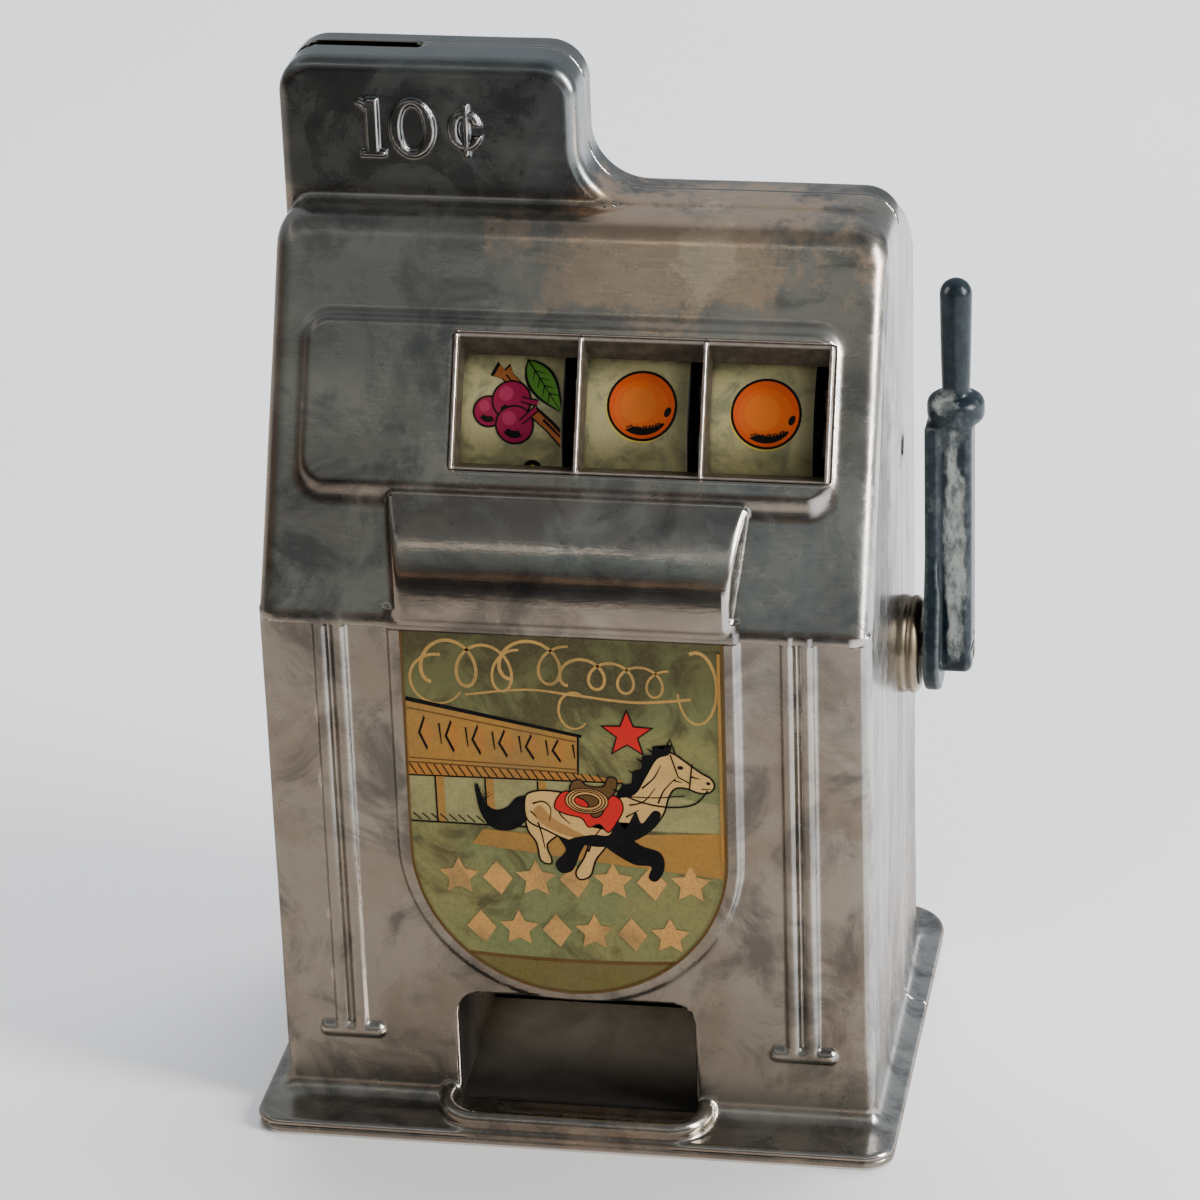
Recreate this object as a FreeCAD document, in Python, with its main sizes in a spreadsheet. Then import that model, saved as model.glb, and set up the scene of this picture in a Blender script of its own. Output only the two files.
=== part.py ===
"""Toy slot machine bank: a pressed metal case with three reels, a side handle and a coin chute.

Millimetres. +X is to the right, +Y to the back, +Z up.
The origin is the centre of the flat underside of the base plate.
"""
import FreeCAD
import Part
import Sketcher
import math
import os

Vector = FreeCAD.Vector
ALONG_X = Vector(1, 0, 0)
ALONG_Y = Vector(0, 1, 0)
ALONG_Z = Vector(0, 0, 1)

# Driving dimensions, in millimetres, degrees or plain counts.
DIMENSIONS = {
    # case
    "sheet": 1.0,
    "body_half": 50.0,
    "front_face": -33.6,
    "rear_face": 33.0,
    "seam": 8.4,
    "crest_rear": 14.6,
    "lip_height": 91.0,
    "slope_foot": 92.65,
    "lip_reach": 1.05,
    "ridge_depth": -6.2,
    "ridge_height": 151.7,
    "slope_shift": 1.11,
    "slope_angle": 64.25,
    "roof_front": 148.5,
    "roof_middle": 143.5,
    "roof_middle_depth": 25.4,
    "roof_rear": 136.0,
    "slope_round": 4.0,
    # tower with the coin slot
    "tower_face": 0.05,
    "tower_top": 175.3,
    "tower_side": -0.8,
    "tower_round": 6.5,
    "shelf_round": 6.0,
    "flare_round": 9.5,
    "slot_width": 23.5,
    "slot_gap": 2.6,
    "slot_depth": 8.0,
    "slot_front_share": 0.6,
    # raised figures on the tower
    "figure_foot": 158.9,
    "figure_top": 168.7,
    "figure_proud": 0.7,
    "figure_sunk": 0.4,
    "figure_wall": 1.7,
    "figure_serif": 1.1,
    "one_left": -36.2,
    "one_right": -32.4,
    "one_inset": 1.0,
    "nought_left": -31.5,
    "nought_right": -24.1,
    "cent_left": -21.9,
    "cent_right": -16.4,
    "cent_foot": 160.6,
    "cent_top": 166.8,
    "cent_bar_left": -19.6,
    "cent_bar_right": -18.6,
    "cent_bar_foot": 159.1,
    "cent_bar_top": 168.1,
    "cent_gap": 2.0,
    # flange and base
    "flange_half": 54.0,
    "flange_depth_half": 43.7,
    "flange_foot": 1.5,
    "flange_top": 2.8,
    "flange_front_round": 5.0,
    "flange_rear_round": 9.0,
    "plate_thick": 1.5,
    "plate_inset": 0.2,
    "plate_edge": 0.5,
    # embossed front
    "emboss": 0.8,
    "shield_half": 28.3,
    "shield_middle": 51.6,
    "label_half": 26.4,
    "label_thick": 0.12,
    "flute_foot": 16.0,
    "flute_top": 90.0,
    "flute_radius": 1.25,
    "flute_inner": 36.65,
    "flute_outer": 39.75,
    "foot_half": 5.7,
    "foot_radius": 1.45,
    "foot_height": 15.4,
    # window panel on the sloped face, measured along the slope
    "panel_left": -44.0,
    "panel_right": 43.3,
    "panel_foot": 20.0,
    "panel_top": 49.0,
    "panel_proud": 1.3,
    "panel_round": 4.5,
    "window_left": -19.2,
    "window_right": 42.6,
    "window_foot": 24.3,
    "window_top": 46.4,
    "grille_border": 1.0,
    "bar_width": 1.0,
    "bar_proud": 2.0,
    "grille_back": 1.2,
    "grille_step": 0.78,
    # hood below the panel
    "hood_half": 27.2,
    "hood_middle": 0.2,
    "hood_round": 2.0,
    "hood_front": -35.3,
    "hood_brow_depth": -35.2,
    "hood_brow": 98.4,
    "hood_bend_depth": -34.3,
    "hood_bend": 101.8,
    "hood_shoulder_depth": -32.7,
    "hood_shoulder": 104.6,
    "hood_turn_depth": -30.4,
    "hood_turn": 107.6,
    "hood_top_depth": -27.1,
    "hood_rear_depth": -24.1,
    "hood_top": 110.9,
    # payout mouth
    "mouth_half": 20.0,
    "mouth_top": 23.5,
    "mouth_round": 4.0,
    "cup_half": 23.3,
    "cup_reach": -43.3,
    "cup_top": 5.8,
    "cup_round": 6.5,
    "cup_wall": 2.6,
    "tunnel_wall": 0.8,
    "tunnel_rear": -4.0,
    "tunnel_rise": 3.0,
    "gate_pin_depth": -2.2,
    "gate_pin_height": 22.4,
    "gate_pin_radius": 0.8,
    "gate_thick": 0.8,
    "gate_barrel": 1.5,
    "gate_set": 1.4,
    "gate_gap": 0.5,
    "gate_ear": 4.0,
    # reels
    "reel_depth": 4.1,
    "reel_height": 113.2,
    "reel_radius": 22.0,
    "strip_thick": 0.3,
    "rim_thick": 1.0,
    "web_thick": 1.2,
    "reel_width": 17.4,
    "reel_pitch": 20.45,
    "first_reel": -19.4,
    "hub_radius": 3.5,
    "axle_radius": 1.5,
    "star_radius": 14.0,
    "star_root": 10.6,
    "star_thick": 1.4,
    "star_offset": 0.4,
    "spacer_thick": 0.6,
    "spacer_radius": 2.6,
    "hub_overhang": 0.2,
    "hub_gap": 0.2,
    "axle_overhang": 2.0,
    "clip_thick": 0.8,
    "clip_radius": 3.1,
    # mechanism frame
    "frame_left_at": -21.5,
    "frame_right_at": 43.2,
    "frame_thick": 1.0,
    "frame_front": -9.0,
    "frame_rear_foot": 26.0,
    "frame_rear": 30.5,
    "frame_rear_low": 84.0,
    "frame_rear_high": 104.0,
    "frame_shoulder": 131.0,
    "frame_shoulder_rear": 27.0,
    "frame_top": 133.0,
    "frame_top_rear": 20.0,
    "frame_top_front": -2.0,
    "frame_front_high": 108.0,
    "deck_height": 58.0,
    "deck_gap": 0.3,
    "deck_lip": 8.0,
    "deck_lip_thick": 0.8,
    "rod_radius": 1.25,
    "rod_overhang": 0.6,
    "front_rod_depth": -4.0,
    "front_rod_height": 67.0,
    "rear_rod_depth": 20.0,
    "rear_rod_height": 64.0,
    "top_rod_depth": 24.0,
    "top_rod_height": 128.0,
    "running_gap": 0.05,
    # handle
    "shaft_height": 71.7,
    "shaft_radius": 2.0,
    "shaft_overhang": 2.5,
    "shaft_seat": 3.5,
    "shaft_clip_radius": 3.5,
    "shaft_clip_thick": 0.7,
    "bush_radius": 3.5,
    "bush_overhang": 0.4,
    "boss_radius": 8.3,
    "boss_face": 53.5,
    "boss_neck": 4.2,
    "boss_neck_depth": 2.5,
    "boss_edge": 1.2,
    "lever_inner": 54.2,
    "lever_plate": 2.6,
    "lever_outer": 62.0,
    "lever_round": 8.0,
    "lever_taper_foot": 86.5,
    "lever_foot_round": 3.6,
    "arm_foot_round": 2.5,
    "lever_screw_head": 2.5,
    "lever_screw_thick": 1.3,
    "lever_screw_set": 0.2,
    "arm_depth": 7.0,
    "arm_foot": 68.0,
    "arm_top": 112.5,
    "collar_radius": 4.8,
    "collar_top": 117.5,
    "grip_middle": 59.1,
    "grip_foot_radius": 2.2,
    "grip_top_radius": 2.6,
    "grip_top": 137.6,
    "finger_reach": 27.0,
    "finger_thick": 1.0,
    "finger_lean": 35.0,
    "finger_root": 3.0,
    "finger_tip": 0.9,
    "kicker_margin": 3.0,
    "spring_wire": 0.45,
    "spring_radius": 3.4,
    "spring_pitch": 1.6,
    "spring_turns": 6,
    # detents
    "detent_depth": 28.0,
    "detent_height": 100.0,
    "leaf_thick": 0.4,
    "leaf_width": 1.0,
    "leaf_gap": 0.6,
    # coin chute and trip lever
    "chute_left": -48.9,
    "chute_right": -26.9,
    "chute_front": 5.9,
    "chute_rear": 10.1,
    "chute_wall": 0.7,
    "chute_top": 169.6,
    "chute_foot": 60.0,
    "trip_pivot": -24.4,
    "trip_height": 100.0,
    "trip_reach": 11.5,
    "trip_thick": 1.4,
    "trip_pin_radius": 0.8,
    "trip_hub_radius": 1.7,
    "trip_window_below": 9.0,
    "trip_window_above": 3.0,
    "bracket_thick": 0.8,
    "bracket_half": 2.8,
    "bracket_rise": 3.0,
    "ear_reach": 1.6,
    "ear_rise": 2.0,
    # case fasteners and coin plug
    "post_side": 43.0,
    "post_height": 32.0,
    "post_radius": 2.4,
    "screw_radius": 1.4,
    "screw_head": 2.7,
    "screw_head_thick": 1.5,
    "screw_length": 8.0,
    "screw_slot": 0.8,
    "lip_screw_drop": 4.0,
    "plug_across": 22.0,
    "plug_depth": 14.0,
    "plug_hole": 12.0,
    "plug_radius": 11.6,
    "plug_foot": 0.3,
    "plug_rim": 13.6,
    "plug_rim_gap": 0.2,
    "plug_rim_thick": 0.8,
    "plug_slot_half": 8.0,
    "plug_slot_width": 1.8,
    "plug_slot_depth": 1.3,
}

STAR_POINTS = 8
REELS = (1, 2, 3)
SIDES = (("left", -1), ("right", 1))
# How far a cutting form runs past the face that it cuts, and how close counts as the same place.
PAST = 1.0
SAME = 0.05


class Size:
    """A length that carries its number and the sheet formula that gives it."""

    def __init__(self, value, text):
        self.value = value
        self.text = text

    def join(self, sign, other, value):
        return Size(value, f"({self.text} {sign} {size_of(other).text})")

    def __add__(self, other):
        return self.join("+", other, self.value + size_of(other).value)

    def __sub__(self, other):
        return self.join("-", other, self.value - size_of(other).value)

    def __mul__(self, other):
        return self.join("*", other, self.value * size_of(other).value)

    def __truediv__(self, other):
        return self.join("/", other, self.value / size_of(other).value)

    def __neg__(self):
        return Size(-self.value, f"(0 - {self.text})")


def size_of(number):
    """Give any plain number the same form as a sheet size."""
    if isinstance(number, Size):
        return number
    return Size(float(number), repr(float(number)))


class Sizes:
    """The sheet's cells as attributes."""

    def __init__(self, sheet, table):
        for row, (alias, value) in enumerate(table.items(), start=1):
            sheet.set(f"A{row}", alias)
            sheet.set(f"B{row}", str(value))
            sheet.setAlias(f"B{row}", alias)
            setattr(self, alias, Size(float(value), f"{sheet.Name}.{alias}"))


doc = FreeCAD.newDocument("slot_machine")
sheet = doc.addObject("Spreadsheet::Sheet", "sizes")
S = Sizes(sheet, DIMENSIONS)
doc.recompute()


# ---------------------------------------------------------------- helpers

def bind(item, prop, size):
    """Drive one property from the sheet."""
    item.setExpression(prop, size_of(size).text)


def place(item, at=(0, 0, 0), axis=None, angle=0.0):
    """Put an object at a sheet-driven point, turned about an axis."""
    if axis is not None:
        item.Placement = FreeCAD.Placement(Vector(), FreeCAD.Rotation(axis, size_of(angle).value))
    for name, size in zip("xyz", at):
        bind(item, f"Placement.Base.{name}", size)
    return item


def box(name, low, high):
    """A box between two opposite corners."""
    item = doc.addObject("Part::Box", name)
    for prop, a, b in zip(("Length", "Width", "Height"), low, high):
        bind(item, prop, size_of(b) - a)
    return place(item, low)


def rod(name, radius, start, length, axis=ALONG_X):
    """A cylinder from its start point along one of the main axes."""
    item = doc.addObject("Part::Cylinder", name)
    bind(item, "Radius", radius)
    bind(item, "Height", length)
    if axis == ALONG_X:
        return place(item, start, ALONG_Y, 90)
    if axis == ALONG_Y:
        return place(item, start, ALONG_X, -90)
    return place(item, start)


def ball(name, radius, at):
    item = doc.addObject("Part::Sphere", name)
    bind(item, "Radius", radius)
    return place(item, at)


def cut(name, base, *tools):
    """The base less every tool."""
    item = doc.addObject("Part::Cut", name)
    item.Base = base
    item.Tool = tools[0] if len(tools) == 1 else fuse(f"{name}_tools", *tools)
    return item


def fuse(name, *items):
    item = doc.addObject("Part::MultiFuse", name)
    item.Shapes = list(items)
    return item


def common(name, *items):
    item = doc.addObject("Part::MultiCommon", name)
    item.Shapes = list(items)
    return item


def group(name, *items):
    """Separate identical solids that share one node."""
    item = doc.addObject("Part::Compound", name)
    item.Links = list(items)
    return item


def new_body(name):
    return doc.addObject("PartDesign::Body", name)


def sketch(body, name, role, at):
    """A sketch on the body's own origin plane, moved to a place along that plane's axis."""
    item = body.newObject("Sketcher::SketchObject", name)
    plane = [feature for feature in body.Origin.OriginFeatures if feature.Role == role][0]
    item.AttachmentSupport = [(plane, "")]
    item.MapMode = "FlatFace"
    offset = -size_of(at) if role == "XZ_Plane" else size_of(at)
    bind(item, "AttachmentOffset.Base.z", offset)
    return item


def outline(item, points):
    """A closed polygon whose corners are all driven from the sheet."""
    corners = [(size_of(x), size_of(y)) for x, y in points]
    count = len(corners)
    for index, (x, y) in enumerate(corners):
        next_x, next_y = corners[(index + 1) % count]
        start = Vector(x.value, y.value, 0)
        end = Vector(next_x.value, next_y.value, 0)
        item.addGeometry(Part.LineSegment(start, end), False)
    for index in range(count):
        item.addConstraint(Sketcher.Constraint("Coincident", index, 2, (index + 1) % count, 1))
    for index, corner in enumerate(corners):
        for kind, size in zip(("DistanceX", "DistanceY"), corner):
            number = item.addConstraint(Sketcher.Constraint(kind, -1, 1, index, 1, size.value))
            item.setExpression(f"Constraints[{number}]", size.text)


def circle(item, x, y, radius):
    """A circle whose centre and radius are driven from the sheet."""
    x, y, radius = size_of(x), size_of(y), size_of(radius)
    ring = item.addGeometry(Part.Circle(Vector(x.value, y.value, 0), ALONG_Z, radius.value), False)
    for kind, size in (("DistanceX", x), ("DistanceY", y)):
        number = item.addConstraint(Sketcher.Constraint(kind, -1, 1, ring, 3, size.value))
        item.setExpression(f"Constraints[{number}]", size.text)
    number = item.addConstraint(Sketcher.Constraint("Radius", ring, radius.value))
    item.setExpression(f"Constraints[{number}]", radius.text)


def pad(body, name, role, start, length, points):
    """Add a prism on a main plane, from start towards the positive axis."""
    profile = sketch(body, f"{name}_sketch", role, start)
    outline(profile, points)
    item = body.newObject("PartDesign::Pad", name)
    item.Profile = profile
    item.Reversed = role == "XZ_Plane"
    bind(item, "Length", length)
    doc.recompute()
    return item


def pocket(body, name, role, start, length, points):
    """Cut a prism on a main plane, from start towards the positive axis."""
    profile = sketch(body, f"{name}_sketch", role, start)
    outline(profile, points)
    return cut_profile(body, name, role, profile, length)


def drill(body, name, role, start, length, hole):
    """Cut a round hole, given as centre and radius, from start towards the positive axis."""
    profile = sketch(body, f"{name}_sketch", role, start)
    circle(profile, *hole)
    return cut_profile(body, name, role, profile, length)


def cut_profile(body, name, role, profile, length):
    before = body.Shape.Volume
    item = body.newObject("PartDesign::Pocket", name)
    item.Profile = profile
    item.Reversed = role != "XZ_Plane"
    bind(item, "Length", length)
    doc.recompute()
    if body.Shape.Volume >= before:
        raise RuntimeError(f"{name} cuts nothing")
    return item


def round_edges(body, name, radius, wanted):
    """Fillet the edges of the body's present shape that the test picks."""
    base = body.Tip
    picked = []
    for index, edge in enumerate(base.Shape.Edges, start=1):
        if edge.Length > 1e-6 and wanted(edge):
            picked.append(f"Edge{index}")
    if not picked:
        raise RuntimeError(f"{name} finds no edge")
    item = body.newObject("PartDesign::Fillet", name)
    item.Base = (base, picked)
    bind(item, "Radius", radius)
    doc.recompute()
    if "Invalid" in item.State or item.Shape.isNull():
        raise RuntimeError(f"{name} can't be rounded")
    return item


def runs_along(edge, axis):
    """True for a straight edge parallel to an axis."""
    if not isinstance(edge.Curve, Part.Line):
        return False
    direction = (edge.Vertexes[-1].Point - edge.Vertexes[0].Point).normalize()
    return abs(direction.dot(axis)) > 0.9999


def near(edge, **place_at):
    """True when the edge's middle has the given coordinates."""
    middle = edge.valueAt((edge.FirstParameter + edge.LastParameter) / 2)
    return all(abs(getattr(middle, name) - size_of(size).value) < SAME
               for name, size in place_at.items())


def rectangle(x_low, y_low, x_high, y_high):
    return [(x_low, y_low), (x_high, y_low), (x_high, y_high), (x_low, y_high)]


def tilt(item):
    """Stand an object on the sloped face: local x across, y up the slope, z outwards."""
    foot = S.front_face - S.lip_reach
    return place(item, (0, foot, S.slope_foot), ALONG_X, S.slope_angle)


# ---------------------------------------------------------------- case

def case_solid(name, inset):
    """The closed form of the case, its faces moved inwards by the inset."""
    body = new_body(name)
    shift = inset * S.slope_shift
    foot = S.flange_foot if inset.value == 0 else S.flange_foot - 2
    half = S.body_half - inset
    front = S.front_face + inset
    slope_run = S.ridge_depth - S.front_face + S.lip_reach
    slope_rise = S.ridge_height - S.slope_foot
    slope_front = S.front_face - S.lip_reach + shift
    if inset.value == 0:
        chin = [(front, S.lip_height), (slope_front, S.slope_foot)]
    else:
        chin = [(front, S.slope_foot + (front - slope_front) * slope_rise / slope_run)]
    top = S.ridge_height - inset
    ridge = slope_front + slope_run * (top - S.slope_foot) / slope_rise
    rear = S.rear_face - inset
    crest = S.crest_rear - inset
    side = [(front, foot)] + chin + [
        (ridge, top),
        (crest, top),
        (crest, S.roof_front - inset),
        (S.roof_middle_depth - inset * 0.5, S.roof_middle - inset),
        (rear, S.roof_rear - inset * 0.6),
        (rear, foot),
    ]
    pad(body, f"{name}_walls", "YZ_Plane", -half, half * 2, side)
    tower_front = S.tower_face + inset
    below = S.ridge_height - 12
    head = [
        (-half, below),
        (-half, S.tower_top - inset),
        (S.tower_side - inset, S.tower_top - inset),
        (S.tower_side - inset, top),
        (half, top),
        (half, below),
    ]
    pad(body, f"{name}_crest", "XZ_Plane", tower_front, crest - tower_front, head)
    round_edges(body, f"{name}_tower_round", S.tower_round - inset,
                lambda edge: runs_along(edge, ALONG_Y) and near(edge, z=S.tower_top - inset))
    round_edges(body, f"{name}_flare", S.flare_round + inset,
                lambda edge: runs_along(edge, ALONG_Y) and near(edge, x=S.tower_side - inset, z=top))
    round_edges(body, f"{name}_shelf_round", S.shelf_round - inset,
                lambda edge: runs_along(edge, ALONG_Y) and near(edge, x=half, z=top))
    slope = Vector(0, slope_run.value, slope_rise.value).normalize()
    round_edges(body, f"{name}_slope_round", S.slope_round - inset,
                lambda edge: runs_along(edge, slope))
    return body


def flange():
    """The flat skirt round the foot of the case."""
    body = new_body("flange")
    side, depth = S.flange_half, S.flange_depth_half
    pad(body, "skirt", "XY_Plane", S.flange_foot, S.flange_top - S.flange_foot,
        rectangle(-side, -depth, side, depth))
    round_edges(body, "skirt_front", S.flange_front_round,
                lambda edge: runs_along(edge, ALONG_Z) and near(edge, y=-depth))
    round_edges(body, "skirt_rear", S.flange_rear_round,
                lambda edge: runs_along(edge, ALONG_Z) and near(edge, y=depth))
    return body


def case_skin():
    """Case walls and flange as one hollow skin, before it is split at the seam."""
    outer = fuse("case_outer", case_solid("outer_form", size_of(0)), flange())
    return cut("case_skin", outer, case_solid("inner_form", S.sheet))


def half_space(name, y_low, y_high):
    wide = S.flange_half + PAST
    return box(name, (-wide, y_low, 0), (wide, y_high, S.tower_top + PAST))


def coin_slot():
    """The slot across the tower top, from its left corner."""
    left = -S.body_half - PAST
    front = S.seam - S.slot_gap * S.slot_front_share
    return box("coin_slot", (left, front, S.tower_top - S.slot_depth),
               (left + S.slot_width + PAST, front + S.slot_gap, S.tower_top + PAST))


def boss_hole(name):
    inside = S.body_half - S.boss_neck_depth - PAST
    return rod(name, S.boss_neck, (inside, S.seam, S.shaft_height), S.boss_neck_depth + PAST * 2)


def flutes():
    """Two pairs of upright ribs on the front, each pair on a rounded foot, solid to mid-sheet."""
    pieces = []
    axis_depth = S.front_face + S.flute_radius - S.emboss
    for name, side in SIDES:
        for label, across in (("inner", S.flute_inner), ("outer", S.flute_outer)):
            start = (across * side, axis_depth, S.flute_foot)
            pieces.append(rod(f"{name}_{label}_flute", S.flute_radius, start,
                              S.flute_top - S.flute_foot, ALONG_Z))
        middle = (S.flute_inner + S.flute_outer) / 2 * side
        reach = S.foot_half - S.foot_radius
        depth = S.front_face + S.foot_radius - S.emboss
        pieces.append(rod(f"{name}_foot", S.foot_radius, (middle - reach, depth, S.foot_height),
                          reach * 2))
        for end_name, end in SIDES:
            pieces.append(ball(f"{name}_foot_{end_name}_end", S.foot_radius,
                               (middle + reach * end, depth, S.foot_height)))
    space = box("flute_space", (-S.body_half, S.front_face - S.emboss * 2, 0),
                (S.body_half, S.front_face + S.sheet / 2, S.lip_height))
    return common("flutes", fuse("flute_ribs", *pieces), space)


def shield(name, half, front, rear):
    """A shield form: square above, half round below."""
    disc = rod(f"{name}_disc", half, (0, front, S.shield_middle), size_of(rear) - front, ALONG_Y)
    plate = box(f"{name}_plate", (-size_of(half), front, S.shield_middle), (half, rear, S.lip_height))
    return fuse(name, disc, plate)


def window_panel():
    """The raised panel that carries the reel windows, standing on the sloped face."""
    body = new_body("window_panel")
    pad(body, "panel_block", "XY_Plane", -S.sheet / 2, S.panel_proud + S.sheet / 2,
        rectangle(S.panel_left, S.panel_foot, S.panel_right, S.panel_top))
    round_edges(body, "panel_corners", S.panel_round, lambda edge: runs_along(edge, ALONG_Z))
    round_edges(body, "panel_edge", S.sheet * 0.6, lambda edge: near(edge, z=S.panel_proud))
    return tilt(body)


def window_opening():
    """The one opening behind the three reel windows."""
    body = new_body("window_opening")
    reach = S.sheet + S.panel_proud + S.bar_proud
    pad(body, "window_opening_block", "XY_Plane", -reach, reach * 2,
        rectangle(S.window_left, S.window_foot, S.window_right, S.window_top))
    return tilt(body)


def hood_solid(name, inset):
    """The barrel-fronted hood between the panel and the shield, its faces moved in by the inset."""
    body = new_body(name)
    down = inset / 2
    foot = S.lip_height + inset
    profile = [
        (S.hood_top_depth, foot),
        (S.hood_front + inset, foot),
        (S.hood_brow_depth + inset, S.hood_brow - down),
        (S.hood_bend_depth + inset, S.hood_bend - down),
        (S.hood_shoulder_depth + inset, S.hood_shoulder - down),
        (S.hood_turn_depth + inset, S.hood_turn - down),
        (S.hood_top_depth + inset, S.hood_top),
        (S.hood_rear_depth, S.hood_top),
    ]
    half = S.hood_half - inset
    pad(body, f"{name}_block", "YZ_Plane", S.hood_middle - half, half * 2, profile)
    if inset.value == 0:
        brow_middle = (S.hood_front + S.hood_brow_depth) / 2
        round_edges(body, f"{name}_ends", S.hood_round,
                    lambda edge: runs_along(edge, ALONG_Z) and near(edge, y=brow_middle))
    return body


def payout_cup():
    """The rolled rim in front of the payout mouth."""
    body = new_body("payout_cup")
    side = S.cup_half
    pad(body, "cup_block", "XY_Plane", S.flange_foot, S.cup_top - S.flange_foot,
        rectangle(-side, S.cup_reach, side, S.front_face + S.sheet))
    round_edges(body, "cup_corners", S.cup_round,
                lambda edge: runs_along(edge, ALONG_Z) and near(edge, y=S.cup_reach))
    round_edges(body, "cup_rim", S.cup_wall / 2,
                lambda edge: near(edge, z=S.cup_top) and not near(edge, y=S.front_face + S.sheet))
    inner = side - S.cup_wall
    pocket(body, "cup_hollow", "XY_Plane", S.flange_top, S.cup_top,
           rectangle(-inner, S.cup_reach + S.cup_wall, inner, S.front_face + S.sheet + PAST))
    return body


def payout_mouth():
    """The mouth's round-topped opening through the front face."""
    body = new_body("payout_mouth")
    pad(body, "mouth_block", "XZ_Plane", S.front_face - PAST, S.sheet + PAST * 2,
        rectangle(-S.mouth_half, S.flange_top, S.mouth_half, S.mouth_top))
    round_edges(body, "mouth_corners", S.mouth_round,
                lambda edge: runs_along(edge, ALONG_Y) and near(edge, z=S.mouth_top))
    return body


def denomination():
    """Raised figures 1 and 0 and a cent sign on the tower face."""
    front = S.tower_face - S.figure_proud
    back = S.tower_face + S.figure_sunk
    foot, top = S.figure_foot, S.figure_top
    stem_left, stem_right = S.one_left + S.one_inset, S.one_right - S.one_inset
    pieces = [
        box("figure_one", (stem_left, front, foot), (stem_right, back, top)),
        box("figure_one_foot", (S.one_left, front, foot), (S.one_right, back, foot + S.figure_serif)),
        box("figure_one_flag", (S.one_left, front, top - S.figure_serif - S.figure_sunk),
            (stem_right, back, top - S.figure_sunk)),
    ]
    nought = (S.nought_left, foot, S.nought_right, top)
    pieces.append(cut("nought_ring", *oval_ring("nought", nought, front, back)))
    cent = (S.cent_left, S.cent_foot, S.cent_right, S.cent_top)
    middle = (S.cent_foot + S.cent_top) / 2
    gap = box("cent_gap_block", (S.cent_right - S.figure_wall * 2, front - PAST, middle - S.cent_gap / 2),
              (S.cent_right + PAST, back + PAST, middle + S.cent_gap / 2))
    pieces.append(cut("cent_ring", *oval_ring("cent", cent, front, back), gap))
    pieces.append(box("cent_bar", (S.cent_bar_left, front, S.cent_bar_foot),
                      (S.cent_bar_right, back, S.cent_bar_top)))
    return fuse("denomination", *pieces)


def oval_ring(name, outer, front, back):
    """A round-cornered block of the given outer size, and the like form that hollows it."""
    forms = []
    for label, wall, past in (("form", size_of(0), 0), ("hole", S.figure_wall, PAST)):
        low_x, low_z = outer[0] + wall, outer[1] + wall
        high_x, high_z = outer[2] - wall, outer[3] - wall
        body = new_body(f"{name}_{label}")
        pad(body, f"{name}_{label}_block", "XZ_Plane", front - past, back - front + past * 2,
            rectangle(low_x, low_z, high_x, high_z))
        round_edges(body, f"{name}_{label}_corners", (high_x - low_x) * 0.45,
                    lambda edge: runs_along(edge, ALONG_Y))
        forms.append(body)
    return forms


def shells():
    """Both halves of the case, split at the seam."""
    skin = case_skin()
    front_half = common("front_half", skin, half_space("front_space", -S.flange_depth_half - PAST, S.seam))
    rear_half = common("rear_half", skin, half_space("rear_space", S.seam, S.flange_depth_half + PAST))
    boss = shield("shield_boss", S.shield_half, S.front_face - S.emboss, S.front_face + S.sheet / 2)
    hood_hollow = hood_solid("hood_hollow", S.sheet)
    hood = hood_solid("hood_form", size_of(0))
    pressed = fuse("front_pressed", front_half, boss, hood, window_panel(), flutes(), payout_cup(),
                   denomination())
    front = cut("front_shell", pressed, hood_hollow, window_opening(), payout_mouth(), coin_slot(),
                boss_hole("front_boss_hole"))
    screws = [rod(f"case_hole_{index}", S.screw_radius + S.running_gap,
                  (x, S.rear_face - S.sheet - PAST, z), S.sheet + PAST * 2, ALONG_Y)
              for index, (x, z) in enumerate(screw_places())]
    rear = cut("rear_shell", rear_half, coin_slot(), boss_hole("rear_boss_hole"), *screws)
    return front, rear


def screw_places():
    """The four screws of the rear wall: two in the posts, two in the deck's lip."""
    return [(S.post_side * side, height) for side in (-1, 1)
            for height in (S.post_height, S.deck_height - S.lip_screw_drop)]


def case_screws():
    pieces = []
    for index, (x, z) in enumerate(screw_places()):
        head = rod(f"screw_head_{index}", S.screw_head, (x, S.rear_face, z), S.screw_head_thick, ALONG_Y)
        shank = rod(f"screw_shank_{index}", S.screw_radius, (x, S.rear_face - S.screw_length, z),
                    S.screw_length + S.screw_slot / 2, ALONG_Y)
        across = S.screw_head + PAST
        slot = box(f"screw_slot_{index}", (x - across, S.rear_face + S.screw_slot, z - S.screw_slot / 2),
                   (x + across, S.rear_face + S.screw_head_thick + PAST, z + S.screw_slot / 2))
        pieces.append(cut(f"case_screw_{index}", fuse(f"screw_blank_{index}", head, shank), slot))
    return group("case_screws", *pieces)


def screw_posts():
    pieces = []
    length = S.rear_face - S.front_face - S.sheet * 2
    for name, side in SIDES:
        start = (S.post_side * side, S.front_face + S.sheet, S.post_height)
        tube = rod(f"post_{name}", S.post_radius, start, length, ALONG_Y)
        bore = rod(f"post_bore_{name}", S.screw_radius, start, length + PAST, ALONG_Y)
        pieces.append(cut(f"screw_post_{name}", tube, bore))
    return group("screw_posts", *pieces)


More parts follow.
